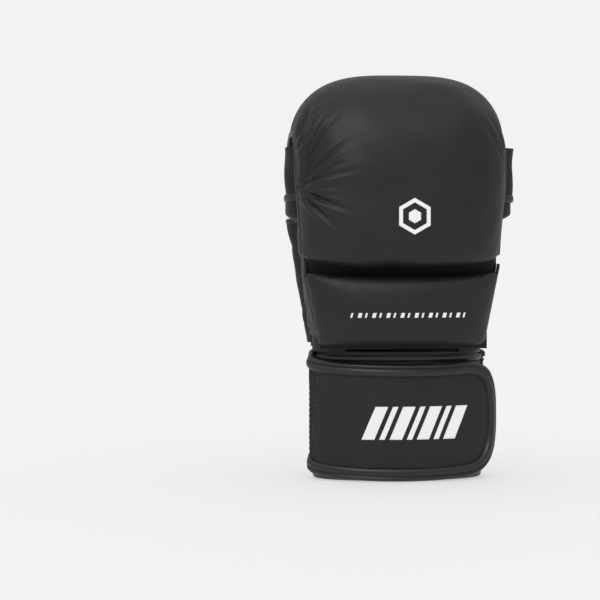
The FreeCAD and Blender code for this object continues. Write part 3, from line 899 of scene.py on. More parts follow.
@dataclass
class Cuff:
    """Padded wrist cuff with a palm slit, bound edges and a cloth lining."""

    form: Oval = Oval(54.5, 27.5)
    wall: float = 3.3
    top: float = 78.0
    lining_top: float = 88.5
    slit: tuple = (-160.5, 174.5)
    slit_top: float = 70.0
    lip: float = -1.0

    def flare(self, z: Array) -> Array:
        """How far the slit's sides turn outwards at its foot, in degrees: 11 (1 - z / 17)^2."""
        return 11.0 * np.clip(1 - z / 17.0, 0.0, 1.0) ** 2

    def shell(self) -> Form:
        """Wall with the slit left out, and the bridge above the slit."""
        share, z = spread((0.0, 1.0, 180), (3.0, self.top + 1, 52))
        first, last = self.slit[0] + self.flare(z), self.slit[1] - self.flare(z)
        turn = first + (last - first) * share
        swell = 0.5 * np.sin(np.pi * (z - 5) / 74) - 0.6 * bell(z - 76.5, 1.6)
        outer = self.form.at(turn, z, swell + frill(turn, 0 * z, z, 0.35, 34.0))
        wall = skin(outer, self.wall)
        turn, z = spread((self.slit[1] - 2, 360 + self.slit[0] + 2, 16), (self.slit_top, self.top + 1, 10))
        return wall.joined(skin(self.form.at(turn, z, -0.3), self.wall - 0.6))

    def lining(self) -> Form:
        """Cloth tube inside the wall, with shallow folds."""
        turn, z = spread((*self.slit, 150), (3.0, self.lining_top, 44))
        turn = turn * (1 - self.flare(z) / 168.0)
        fold = 0.25 * np.sin(np.radians(turn) * 11 + z * 0.05)
        tube = skin(self.form.at(turn, z, fold - 3.5), 0.8)
        turn, z = spread((self.slit[1] - 1, 361 + self.slit[0], 12),
                         (self.slit_top - 2, self.lining_top, 12))
        return tube.joined(skin(self.form.at(turn, z, -3.5), 0.8))

    def bottom_edge(self) -> Form:
        """Bound edge: up one side of the slit, round the foot and up the other side."""
        rise = np.linspace(self.slit_top - 3, 4.4, 24)
        first, last = self.slit[0] + self.flare(rise), self.slit[1] - self.flare(rise[::-1])
        low = np.linspace(first[-1] + 2.5, last[0] - 2.5, 260)
        turn = np.concatenate([first, low, last])
        z = np.concatenate([rise, np.full(260, 3.2), rise[::-1]])
        path = resample(self.form.at(turn, z, -1.7), 330)
        return roll(path, self.form.outward(path), 3.1, 2.6, 16, 2.6)

    def top_edge(self) -> Form:
        """Bound edge round the top."""
        turn = np.linspace(0, 360, 240, endpoint=False)
        rise = 5.0 * smoothstep(95.0, 165.0, 180.0 - np.abs(turn - 180.0)) - 0.6
        path = self.form.at(turn, 80.3 + rise, -1.4)
        return tape(path, self.form.facing(turn), 4.1, 2.3, self.lip, closed=True)

    def build(self, shop: Workshop) -> None:
        """Make and dress the cuff."""
        shop.add("cuff_leather", self.shell(), Finish.PANEL, Body.HAND, ["cuff_shell"])
        shop.add("cuff_lining_cloth", self.lining(), Finish.LINING, Body.HAND, ["cuff_lining"])
        shop.add("cuff_foot_edge", self.bottom_edge(), Finish.EDGE, Body.HAND, ["cuff_bottom_binding"])
        shop.add("cuff_upper_edge", self.top_edge(), Finish.EDGE, Body.HAND, ["cuff_top_binding"])
        rows = []
        for z, lift, start, end in ((76.8, 0.15, 0.0, 360.0),
                                    (7.0, 0.2, self.slit[0] + 9, self.slit[1] - 9)):
            turn = np.linspace(start, end, 400)
            rows.append(stitches(self.form.at(turn, np.full(400, z), lift), self.form.facing(turn)))
        shop.add("cuff_stitches", merged(rows), Finish.THREAD, Body.HAND)


@dataclass
class WristStrap:
    """Wide strap: a half sewn round the palm and a flap that closes over the back."""

    flap_form: Oval = Oval(58.7, 31.7)
    palm_form: Oval = Oval(56.0, 29.0)
    foot: float = 7.5
    height: float = 73.3
    tilt: float = math.tan(math.radians(8.0))
    lip: float = 1.0
    wall: float = 2.8
    end_turn: float = 38.0
    end_reach: float = 40.0
    spring: float = 6.0
    drop: float = 2.8

    def edges(self, y: Array) -> tuple:
        """Lower and upper edge heights, which rise with y by the strap's tilt."""
        return self.foot + y * self.tilt, self.foot + self.height + (y + 10.3) * self.tilt

    def lay(self, form: Oval, turn: Array, share: Array, out: Union[float, Array] = 0.0) -> Array:
        """Points of the strap.

        Args:
            form: The form that the strap lies on.
            turn: Angle round it, in degrees.
            share: From -1 at the lower edge to 1 at the upper one.
            out: Distance outside the strap's middle.

        Returns:
            The points, at heights between the edges by their share.
        """
        turn, share = np.broadcast_arrays(turn, share)
        low, high = self.edges(form.at(turn, 0 * share)[..., 1])
        if form is self.flap_form:
            drop = self.drop * smoothstep(-90.5, -68.0, turn)
            low, high = low - drop, high - drop
        return form.at(turn, (low + high) / 2 + share * (high - low) / 2, out)

    def half_share(self, turn: Array) -> Array:
        """Half height share of the flap: (1 - s^2.6)^(1/2.6) over its rounded end, s from 0 to 1."""
        s = np.clip((turn - self.end_turn) / self.end_reach, 0.0, 1.0)
        return (1 - s ** 2.6) ** (1 / 2.6)

    def lift(self, turn: Array) -> Array:
        """How far the flap's leather stands out: in at its sewn root, out where its end springs."""
        return -2.4 * smoothstep(-78.0, -90.0, turn) + self.spring * smoothstep(36.0, 82.0, turn)

    def flap(self) -> Form:
        """Leather of the flap, swollen a little between its bound edges."""
        turn = np.concatenate([np.linspace(-90.6, self.end_turn, 150)[:-1],
                               self.end_turn + self.end_reach * np.sin(np.linspace(0, np.pi / 2, 40))])
        turn, share = np.meshgrid(turn, np.linspace(-1.0, 1.0, 60), indexing="ij")
        sink = self.lift(turn) - 1.1
        swell = 0.9 * (1 - np.abs(share) ** 6) - 0.7 * bell(turn + 74.0, 1.1) + 0.4 * bell(turn + 78.0, 2.2)
        y = frill(turn * 1.2, 0 * turn, share * 37, 0.45, 41.0)
        grid = self.lay(self.flap_form, turn, share * self.half_share(turn) * 0.985, sink + swell + y + 0.6)
        return skin(grid, self.wall)

    def outline(self, inset: float, out: float) -> Array:
        """Line along the flap's edges, from its lower thumb-side corner round its end and back.

        Args:
            inset: How far inside the edge, in millimetres.
            out: Distance outside the strap's middle.

        Returns:
            Evenly spaced points.
        """
        start, reach = self.end_turn, self.end_reach
        upright, level = squared(np.linspace(0.0, np.pi, 81), 2.6)
        end = start + (reach - inset * 1.55) * np.abs(level)
        edge = 1 - inset / 36.5
        share = -upright * edge
        straight = np.linspace(-90.3, start, 160)[:-1]
        turn = np.concatenate([straight, end, straight[::-1]])
        share = np.concatenate([np.full(159, -edge), share, np.full(159, edge)])
        return resample(self.lay(self.flap_form, turn, share, out + self.lift(turn)), 420)

    def palm(self) -> Form:
        """Leather of the palm half."""
        turn, share = spread((89.7, 270.3, 150), (-1.0, 1.0, 50))
        swell = 0.5 * (1 - np.abs(share) ** 6) + frill(turn, 0 * turn, share * 37, 0.5, 37.0)
        return skin(self.lay(self.palm_form, turn, share * 0.985, swell + 0.6), 2.6)

    def bars(self, shop: Workshop, flap: bpy.types.Object) -> None:
        """Generic print on the flap: a row of slanted bars of two widths."""
        stencil = Stencil(-60.0, 24, 12)
        marks = [stencil.bar(left, width, 27.0, 48.0, 0.42, 28.0) for left, width in (
            (-27.0, 8.0), (-16.0, 3.5), (-9.5, 8.0), (1.5, 3.5), (8.0, 8.0), (19.0, 3.5), (25.5, 8.0))]
        shop.project("strap_print", merged(marks), flap, -1.0, Finish.PRINT, Body.STRAP)

    def build(self, shop: Workshop) -> None:
        """Make and dress both halves of the strap."""
        flap = shop.add("strap_flap_leather", self.flap(), Finish.LEATHER, STRAP_BEND, ["strap_flap"])
        path = self.outline(4.2, 0.3)
        edge = tape(path, self.flap_form.outward(path), 4.4, 2.0, self.lip)
        shop.add("strap_flap_edge", edge, Finish.EDGE, STRAP_BEND, ["strap_flap_binding"])
        seam = self.outline(5.15, 0.2)
        rows = [stitches(seam, self.flap_form.outward(seam))]
        for angle in (-71.0, -78.5):
            turn = np.full(60, angle)
            side = self.lay(self.flap_form, turn, np.linspace(-0.8, 0.8, 60), 0.6)
            rows.append(stitches(side, self.flap_form.facing(turn)))
        shop.add("strap_flap_stitches", merged(rows), Finish.THREAD, STRAP_BEND)
        self.bars(shop, flap)
        shop.add("strap_palm_leather", self.palm(), Finish.LEATHER, Body.HAND, ["strap_palm_panel"])
        turn = np.linspace(89.9, 270.1, 170)
        facing = self.palm_form.facing(turn)
        rims, threads = [], []
        for side in (-1.0, 1.0):
            rim = self.lay(self.palm_form, turn, np.full(170, side * 0.89), 0.2)
            line = self.lay(self.palm_form, turn, np.full(170, side * 0.865), 0.15)
            rims.append(tape(rim, facing, 4.2, 1.9, side))
            threads.append(stitches(line, facing))
        shop.add("strap_palm_edges", merged(rims), Finish.EDGE, Body.HAND, ["strap_palm_binding"])
        shop.add("strap_palm_stitches", merged(threads), Finish.THREAD, Body.HAND)
        self.closure(shop)

    def closure(self, shop: Workshop) -> None:
        """The two tapes of the closure, on the cuff and behind the flap."""
        for name, node, form, finish, body, low, high in (
                ("wrist_loop_tape", "wrist_loop_patch", Oval(55.6, 28.6), Finish.LOOP, Body.HAND,
                 -45.5, 45.5),
                ("strap_hook_tape", "hook_patch", Oval(57.1, 30.1), Finish.HOOK, Body.STRAP, -44.0, 44.0)):
            turn, z = spread((low, high, 140), (15.0, 67.0, 60))
            pile = 0.1 * np.sin(z * 1.7) * np.sin(turn * 1.9)
            shop.add(name, skin(form.at(turn, z, pile), 0.9), finish, body, [node])


@dataclass
class Hand:
    """Back pad, side gussets, heel panel and the seams of the part that doesn't bend."""

    pad_bottom: float = 86.0
    pad_top: float = 136.0
    pad_back: float = -26.0
    pad_front: float = -50.0
    heel_half: float = 56.0
    section: tuple = (
        (-26.2, 90, -26.6, 90), (-31, 87.4, -27.6, 87.0), (-39, 87.8, -28.6, 86.0),
        (-44.6, 91.8, -29.2, 87.0), (-47.8, 99, -29.4, 96), (-49.4, 110, -29.4, 110),
        (-49.2, 121, -29.4, 123), (-46.8, 127.8, -29.2, 131), (-41.5, 131.0, -28.6, 134.5),
        (-33, 131.8, -27.6, 135.0), (-26.2, 129, -26.6, 133), (-26.2, 111, -26.6, 111))

    def pad_half(self, side: float, z: Array) -> Array:
        """Half width of the pad on one side at a height: it widens upwards."""
        low, high = (55.0, 65.0) if side < 0 else (51.5, 61.5)
        return low + (high - low) * (np.minimum(z, 137.0) - self.pad_bottom) / 50.0

    def pad_form(self) -> Form:
        """Closed cushion between its end seams.

        A point is E + (C - E) (1 - |x|^3)^0.6, where C is the middle section, E the seam and x the
        share across; the two sides have their own half widths.
        """
        ring = spline(self.section, 84, closed=True)
        x = np.sin(np.linspace(-np.pi / 2, np.pi / 2, 100))[None, :]
        rise = (1 - np.abs(x) ** 3.0) ** 0.6
        y = ring[:, 2:3] + (ring[:, 0:1] - ring[:, 2:3]) * rise
        z = ring[:, 3:4] + (ring[:, 1:2] - ring[:, 3:4]) * rise
        half = np.where(x < 0, self.pad_half(-1.0, z), self.pad_half(1.0, z))
        grid = np.stack([x * half, y, z], axis=-1)
        first = np.arange(84) * 100
        ends = [first.tolist()[::-1], (first + 99).tolist()]
        return Form(grid.reshape(-1, 3), quads(84, 100, True, False).tolist() + ends)

    def sewn(self, points: Array) -> Array:
        """Where the pad is sewn down: its back face and its two end seams."""
        half = np.where(points[:, 0] < 0, self.pad_half(-1.0, points[:, 2]),
                        self.pad_half(1.0, points[:, 2]))
        return np.where((points[:, 1] > -28.5) | (np.abs(points[:, 0]) > half - 3.0), 1.0, 0.0)

    def back_pad(self, shop: Workshop) -> None:
        """Blow the back pad up, keep it in its box and print a row of dashes on it."""
        pad = shop.mesh("back_pad_leather", self.pad_form())
        inflate(pad, self.sewn, 2.6, 4.0, 2.4)
        points = points_of(pad)
        points[:, 1] = np.clip(points[:, 1], self.pad_front - 1.0, self.pad_back)
        points[:, 2] = np.clip(points[:, 2], self.pad_bottom - 1.2, self.pad_top + 1.0)
        points[:, 1] += frill(points[:, 0], points[:, 1], points[:, 2], 0.5, 46.0)
        move_points(pad, points)
        shop.finish(pad, Finish.LEATHER, Body.HAND, ["back_pad_cover", "back_pad_foam"], 0.8)
        stencil = Stencil(-70.0, 5, 4)
        dashes = [stencil.bar(-37.0 + number * 4.45, 1.2 + 1.1 * (number % 2), 105.2, 108.2, 0.25, 105.0)
                  for number in range(17)]
        shop.project("back_pad_print", merged(dashes), pad, -1.0, Finish.PRINT, Body.HAND)

    def flank(self, side: float, along: Array, z: Array, out: Union[float, Array] = 0.0) -> Array:
        """Points of a side panel, from the pads' seam (along 0) to its palm-side edge (along 1).

        It starts at the pad's end and swings out to the hand form's half width. Near the cuff both
        ends draw in to the cuff's oval: x is at most a (1 - |y / b|^2.4)^(1 / 2.4) there.

        Args:
            side: -1 for the thumb side, 1 for the little-finger side.
            along: Share of the way from the pad to the palm-side edge.
            z: Height of each point.
            out: How far outside the panel's middle the points lie.

        Returns:
            The points, in the shape of along and z together.
        """
        a = HAND_FORM.half_width + HAND_FORM.grow_width * (z - HAND_FORM.base)
        half = np.minimum(self.pad_half(side, z), 64.0) - 2.0
        swing = smoothstep(0.0, 0.55, along)
        x = half * (1 - swing) + (a - 0.03 * a * smoothstep(0.65, 1.0, along)) * swing
        back = -27.5 + 4.0 * smoothstep(137.0, 146.0, z)
        y = back + (8.4 - back) * along
        near = smoothstep(97.0, 86.5, z)
        y = y * (1 - 0.2 * near * (1 - along))
        inside = 54.0 * np.maximum(1 - np.abs(y / 27.0) ** 2.4, 0.0) ** (1 / 2.4)
        x = x * (1 - near) + np.minimum(x, inside) * near
        return np.stack([side * (x + out), y, z], axis=-1)

    def gusset(self, side: float) -> Form:
        """Side panel from the pad's end seam to the palm-side edge (-1 thumb side, 1 little side)."""
        along, z = spread((0.0, 1.0, 60), (82.0, 164.0, 76))
        bulge = 1.4 * np.sin(np.pi * (z - 82) / 82) * np.sin(np.pi * along) ** 0.7
        crease = (-0.9 * bell((z - 96.0) + along * 6, 2.0) - 0.7 * bell((z - 103.0) + along * 9, 1.8)
                  - 0.6 * bell((z - 139.0) - along * 5, 2.4)) * np.sin(np.pi * along) ** 0.5
        wave = frill(along * 35, 0 * along, z, 0.8, 27.0)
        return skin(self.flank(side, along, z, bulge + crease + wave * np.sin(np.pi * along)), 1.6)

    def side_web(self, side: float) -> Form:
        """Cloth between a side panel's top and the outer half of the nearest sleeve's mouth."""
        along, rise = spread((0.0, 1.0, 40), (0.0, 1.0, 30))
        low = self.flank(side, along, 150.0 + 0 * rise, -2.6)
        outer, deep = squared(np.pi * (1.5 - along), 2.6)
        high = np.stack([side * (55.8 + np.abs(outer) * 17.0), -6.8 + deep * 12.6, 182.0 + 0 * deep],
                        axis=-1)
        share = smoothstep(0.38, 0.66, rise)[..., None]
        grid = low * (1 - share) + high * share
        grid[..., 2] = 150.0 + 32.0 * rise
        return skin(grid, 0.9)

    def thumb_web(self) -> Form:
        """Leather between the thumb-side panel's palm edge and the thumb sleeve."""
        across, z = spread((0.0, 1.0, 24), (85.0, 164.5, 62))
        start = self.flank(-1.0, 0.96 + 0 * z, z, -0.8)
        share = (z - 88.0) / 77.0
        end = np.stack([-27.0 - 19.5 * share - (29.0 - 6.0 * share) * 0.72, 17.6 + 0 * z, z], axis=-1)
        grid = start * (1 - across[..., None]) + end * across[..., None]
        grid[..., 0] += 1.6 * np.sin(np.pi * across) + 0.5 * np.sin(z * 0.35) * np.sin(np.pi * across)
        return skin(grid, 1.2)

    def heel_level(self, x: Array) -> Array:
        """Height of the heel panel's free edge at x."""
        line = spline([(9.0, 87.5), (14.0, 91.5), (26.0, 104.0), (41.0, 110.8), (57.0, 115.0),
                       (62.0, 115.5)], 60)
        return np.interp(x, line[:, 0], line[:, 1])

    def heel(self) -> Form:
        """Heel panel up to its free edge, wrinkled near its foot."""
        turn, share = spread((168.5, 101.0, 60), (0.0, 1.0, 40))
        x = self.heel_half * np.sin(np.radians(turn))
        z = 83.5 + (self.heel_level(x) - 83.5) * share
        crease = -0.9 * bell(z - 89.5 - (x - 30) * 0.06, 1.5) - 0.6 * bell(z - 93.5 + (x - 35) * 0.08, 1.4)
        return skin(HAND_FORM.at(turn, z, 0.6 * np.sin(np.pi * share) + crease + 0.3), 1.6)

    def build(self, shop: Workshop) -> None:
        """Make and dress the hand's pieces."""
        self.back_pad(shop)
        shop.add("thumb_side_gusset", self.gusset(-1.0), Finish.PANEL, Body.HAND, ["thumb_side_panel"])
        shop.add("little_side_gusset", self.gusset(1.0), Finish.PANEL, Body.HAND, ["little_side_panel"])
        self.seams(shop)
        shop.add("thumb_side_web", self.side_web(-1.0), Finish.LINING, SIDE_BEND)
        shop.add("little_side_web", self.side_web(1.0), Finish.LINING, SIDE_BEND)
        shop.add("thumb_web_leather", self.thumb_web(), Finish.PANEL, THUMB_BEND)
        shop.add("heel_leather", self.heel(), Finish.PANEL, Body.HAND, ["heel_panel"])
        turn = np.linspace(169.5, 101.0, 110)
        level = self.heel_level(self.heel_half * np.sin(np.radians(turn)))
        facing = HAND_FORM.facing(turn)
        shop.add("heel_edge", roll(HAND_FORM.at(turn, level, 0.2), facing, 2.5, 2.0, 14, 2.2), Finish.EDGE,
                 Body.HAND, ["heel_panel_binding"])
        rows = [stitches(HAND_FORM.at(turn, level - 4.2, 1.0), facing, 2.9, 2.0)]
        for side in (-1.0, 1.0):
            for share, top in ((0.1, 135.0), (0.64, 156.0), (0.8, 156.0)):
                seam = self.flank(side, np.full(90, share), np.linspace(88.0, top, 90), 1.2)
                rows.append(stitches(seam, np.array([side, 0.0, 0.0])))
        shop.add("hand_stitches", merged(rows), Finish.THREAD, Body.HAND)
        x, z = spread((-54.0, 54.0, 80), (84.5, 138.0, 50))
        y = -25.6 + 0.5 * np.sin(x * 0.11) * np.sin(z * 0.09)
        shop.add("back_lining_cloth", skin(np.stack([x, y, z], axis=-1), 0.7), Finish.LINING, Body.HAND,
                 ["back_lining"])
        # Sheet at the foot of the groove between the pads, in the dark lining cloth so that the groove reads
        # as a dark band: painted shade, on top of the real shade of its depth.
        x, z = spread((-64.2, 60.4, 120), (128.0, 149.0, 24))
        y = -28.6 + 2.2 * bell(z - 134.0, 5.0) + 9.0 * smoothstep(59.0, 65.0, np.abs(x + 1.9))
        web = skin(np.stack([x, y, z - 1.5], axis=-1), 0.9)
        shop.add("knuckle_groove_shade_web", web, Finish.LINING, KNUCKLE_BEND)

    def seams(self, shop: Workshop) -> None:
        """Cords along the side panels and the tapes that bind their free edges."""
        cord = self.flank(-1.0, np.full(90, 0.72), np.linspace(85.5, 163.0, 90), 1.4)
        cords, rims = [roll(cord, np.array([-1.0, 0, 0]), 1.4, 1.4, 12, 2.0)], []
        for side, start in ((-1.0, 95.0), (1.0, 113.0)):
            end = self.flank(side, np.zeros(70), np.linspace(89.0, 138.5, 70), 1.0) - [0.0, 0.8, 0.0]
            cords.append(roll(end, np.array([side, -0.4, 0]), 1.0, 1.0, 12, 2.0))
            share = np.concatenate([np.ones(50), np.linspace(1.0, 0.24, 50)])
            level = np.concatenate([np.linspace(start, 160.5, 50), np.full(50, 160.5)])
            path = resample(self.flank(side, share, level, -0.2), 120)
            rims.append(tape(path, np.array([side, 0.05, 0.0]), 3.6, 1.9, side))
        shop.add("side_cords", merged(cords), Finish.PANEL, Body.HAND, ["thumb_side_piping"])
        shop.add("side_edges", merged(rims), Finish.EDGE, Body.HAND)


@dataclass
class KnucklePad:
    """Big pad that curls over the fingers: leather cover, pocket lining, facing and print."""

    columns: int = 150
    rows: int = 330
    low_half: float = 64.5
    half: float = 69.0
    outer: tuple = (
        (-22, 141, -24, 147), (-34, 137.4, -25, 146), (-46, 137.2, -26, 145.5), (-53.5, 141.5, -26.5, 147),
        (-56.5, 153, -27, 157), (-56.5, 180, -27, 181), (-55.5, 205, -26, 200), (-51, 226, -23, 211),
        (-41, 243, -17, 218), (-26, 255, -10, 221.5), (-8, 259.8, 0, 222.5), (12, 257, 9, 221.5),
        (28, 248, 16, 218), (39, 232, 21, 215), (44, 212, 24, 213), (43.5, 198, 25.5, 212.5),
        (40, 188, 26, 212), (34, 184.4, 25, 211.5))
    pocket: tuple = (
        (28, 184.8, 24, 211.8), (25.5, 190, 23, 212.5), (25, 205, 21, 213.2), (21, 222, 14, 217),
        (2, 234, 0, 220.6), (-17, 222, -14.5, 216), (-21.5, 205, -21, 203), (-22, 175, -23, 176),
        (-22, 154, -23.6, 156))
    fan: tuple = (-69.5, 187.0)
    pleats: tuple = (
        (4, 32, 54, 1.5), (8, 26, 52, 1.7), (12.5, 21, 52, 1.8), (17.5, 16, 52, 2.0), (23, 12, 42, 1.7),
        (29, 9, 38, 1.7), (37, 7, 42, 2.0), (46, 6, 26, 1.3), (55, 5, 31, 1.7), (64, 4, 35, 1.9),
        (79, 4, 17, 1.1), (95, 4, 22, 1.6), (108, 5, 20, 1.0), (121, 6, 34, 1.9), (142, 9, 33, 1.6))
    creases: tuple = ((3, 24, 50, 0.5), (11, 18, 50, 0.7), (20, 16, 44, 0.5))

    def half_width(self, level: Array, side: Union[float, Array] = -1.0) -> Array:
        """Half width at a height of the side seam: it widens upwards, more on the thumb side."""
        low = np.where(np.asarray(side) < 0, self.low_half + 1.5, self.low_half - 3.2)
        high = np.where(np.asarray(side) < 0, self.half + 0.3, self.half - 3.2)
        return low + (high - low) * smoothstep(142.0, 206.0, level)

    def fullness(self, x: Array, hood: Array) -> Array:
        """How full the pad is across: (1 - |x|^a)^b, squarer on the front than at the hood's rim.

        Args:
            x: Share across, from -1 to 1.
            hood: 0 on the front and the top, 1 at the hood.

        Returns:
            1 in the middle and 0 at the side seams; a goes from 3.4 to 2.2 and b from 0.55 to 0.68.
        """
        return (1 - np.abs(x) ** (3.4 - 1.2 * hood)) ** (0.55 + 0.13 * hood)

    def surface(self, ring: Array, columns: int) -> Array:
        """Points between the side seams.

        A point is E + (C - E) f(x), at W x across, where C is the middle line, E the seam, f the
        fullness, W the half width and x the sine of an even spacing.

        Args:
            ring: Rows of C and E, as y, z, y, z.
            columns: Points across.

        Returns:
            The grid.
        """
        x = np.sin(np.linspace(-np.pi / 2, np.pi / 2, columns))[None, :]
        rise = self.fullness(x, smoothstep(8.0, 34.0, ring[:, 0:1]))
        y = ring[:, 2:3] + (ring[:, 0:1] - ring[:, 2:3]) * rise
        z = ring[:, 3:4] + (ring[:, 1:2] - ring[:, 3:4]) * rise
        return np.stack([self.half_width(ring[:, 3:4], x) * x + 0 * z, y, z], axis=-1)

    def gathers(self, x: Array, z: Array, centre: tuple, folds: Sequence, side: float) -> Array:
        """Depth of folds that fan out from a point, at each point of the front.

        A fold is a sharp valley, exp(-(d / w)^1.25), between two low ridges; d is the distance across.

        Args:
            x: Across.
            z: Up.
            centre: Where the folds meet.
            folds: Angle from upright, start, end and depth of each.
            side: 1 for folds that fan to the little side, -1 for the other way.

        Returns:
            The height, below 0 in the folds.
        """
        right, up = (x - centre[0]) * side, z - centre[1]
        far = np.hypot(right, up)
        angle = np.arctan2(right, up)
        height = np.zeros_like(x)
        for lean, start, end, depth in folds:
            bent = math.radians(lean) + 0.0055 * (far - start) * (1 if lean < 90 else -0.6)
            across = far * (angle - bent)
            width = 0.95 + 0.02 * np.maximum(far - start, 0)
            reach = smoothstep(start - 4.5, start + 3.0, far) * (1 - smoothstep(start + 2, end + 6, far))
            valley = np.exp(-(np.abs(across) / width) ** 1.25)
            ridge = bell(np.abs(across) - 2.2 * width, 1.2 * width)
            height += depth * reach * (0.7 * ridge - 1.9 * valley)
        return height

    def cover(self) -> Form:
        """Closed leather cover: front, top, hood and pocket, with its gathers."""
        ring = spline(self.outer + self.pocket, self.rows, closed=True)
        grid = self.surface(ring, self.columns)
        x, y, z = grid[..., 0], grid[..., 1], grid[..., 2]
        out = normals(grid, wrap_rows=True)
        way = np.sign(np.sum(out * (grid - np.array([0.0, -4.0, 205.0])), axis=-1).mean())
        outside = smoothstep(28.0, 36.0, np.hypot(ring[:, 0:1] + 6.0, np.maximum(ring[:, 1:2] - 210.0, 0.0)))
        front = outside * smoothstep(-8.0, -24.0, y)
        spaced = np.sin(np.linspace(-np.pi / 2, np.pi / 2, self.columns))
        rounded = 1 - smoothstep(0.992, 1.0, np.abs(spaced)[None, :])
        height = front * self.gathers(x, z, self.fan, self.pleats, 1.0)
        height += 0.8 * front * self.gathers(x, z, (67.5, 190.0), self.creases, -1.0)
        hood = outside * smoothstep(20.0, 27.0, y) * smoothstep(182.0, 190.0, z)
        palm_folds = ((8, 14, 36, 1.0), (22, 11, 38, 1.3), (38, 8, 34, 1.1), (58, 6, 26, 0.9))
        height += hood * self.gathers(x, z, (-62.0, 205.0), palm_folds, 1.0)
        height += 0.6 * hood * self.gathers(x, z, (62.0, 205.0), palm_folds[:3], -1.0)
        past_rim = z - self.rim_level(x)
        rim = hood * (-0.9 * bell(past_rim - 8.0, 0.9) + 0.5 * bell(past_rim - 4.0, 3.0))
        soft = frill(x, y, z, 0.8, 52.0) * smoothstep(-22.5, -30.0, y)
        soft = soft + 0.8 * frill(x, y, z, 0.8, 47.0) * hood
        grid = grid + way * out * ((height + rim + soft) * rounded)[..., None]
        faces = quads(self.rows, self.columns, True, False).tolist()
        first = np.arange(self.rows) * self.columns
        faces += [first.tolist()[::-1], (first + self.columns - 1).tolist()]
        return Form(grid.reshape(-1, 3), faces)

    def rim_level(self, x: Array) -> Array:
        """Height of the hood's rim: from 184.4 in the middle up to the seam at the sides."""
        return 211.5 - 27.1 * self.fullness(np.minimum(np.abs(x) / self.half, 1.0), 1.0)

    def pocket_lining(self) -> Form:
        """Cloth inside the pocket, 0.7 mm clear of the leather."""
        ring = spline(self.pocket, 120)
        grid = self.surface(ring, 90)
        grid[..., 0] *= 0.985
        toward = unit(normals(grid))
        middle = np.array([0.0, 2.0, 200.0])
        way = np.sign(np.sum(toward * (middle - grid) * [0, 1, 1], axis=-1).mean())
        fold = 0.3 * np.sin(grid[..., 0] * 0.35 + grid[..., 2] * 0.1)
        return skin(grid + way * toward * (1.1 + fold)[..., None], 0.7 * way)

    def facing_strip(self) -> Form:
        """Facing under the hood's rim: a flat oval section that spans the pad's thickness there."""
        rows, sides = 140, 20
        across, turn = np.meshgrid(np.linspace(-1.40, 1.40, rows), full_turn(sides), indexing="ij")
        deep, tall = squared(turn, 2 / 0.7)
        x = np.sin(across)
        rise = self.fullness(x, 1.0)
        y = 25.2 + 9.0 * rise + (1.2 + 7.6 * rise) * deep
        z = 211.6 - 29.0 * rise + 2.2 * tall
        grid = np.stack([x * (self.half_width(z, x) - 0.8), y, z], axis=-1)
        return Form(grid.reshape(-1, 3), quads(rows, sides, False, True).tolist() + lids(rows, sides))

    def side_seams(self) -> Form:
        """Corded seam where cover and pocket meet, on both sides."""
        ring = spline([row[2:] for row in self.outer], 130)
        cords = []
        for side in (-1.0, 1.0):
            x = side * (self.half_width(ring[:, 1], side) - 0.2)
            path = np.stack([x, ring[:, 0], ring[:, 1]], axis=-1)
            cords.append(roll(path, np.array([side, 0.0, 0.0]), 1.9, 1.1, 12, 2.0))
        return merged(cords)

    def badge(self, shop: Workshop, cover: bpy.types.Object) -> None:
        """Generic print: a six-sided ring round a small six-sided spot."""
        stencil = Stencil(-75.0, 73, 6)
        marks = merged([stencil.hexagon((2.0, 168.5), inner, outer)
                        for inner, outer in ((8.6, 11.4), (0.0, 4.4))])
        shop.project("knuckle_print", marks, cover, -1.0, Finish.PRINT, Body.PAD)

    def build(self, shop: Workshop) -> None:
        """Make and dress the pad."""
        cover = shop.add("knuckle_pad_leather", self.cover(), Finish.LEATHER, Body.PAD,
                         ["knuckle_pad_cover", "knuckle_pad_foam", "knuckle_pad_core"], 0.85)
        shop.add("pocket_lining_cloth", self.pocket_lining(), Finish.LINING, Body.PAD, ["knuckle_lining"])
        shop.add("hood_facing_roll", self.facing_strip(), Finish.EDGE, Body.PAD, ["hood_facing"])
        shop.add("knuckle_side_cords", self.side_seams(), Finish.EDGE, Body.PAD)
        self.badge(shop, cover)
        x = self.half * np.sin(np.linspace(-1.33, 1.33, 200))
        line = np.stack([x, 0 * x + 70.0, self.rim_level(x) + 8.0], axis=-1)
        graph = bpy.context.evaluated_depsgraph_get()
        hits = [cover.evaluated_get(graph).ray_cast(Vector(p), Vector((0, -1, 0))) for p in line * MM]
        spots = np.array([tuple(hit[1]) for hit in hits if hit[0]]) / MM
        ways = np.array([tuple(hit[2]) for hit in hits if hit[0]])
        shop.add("hood_stitches", stitches(spots + ways * 0.1, ways), Finish.THREAD, Body.PAD)


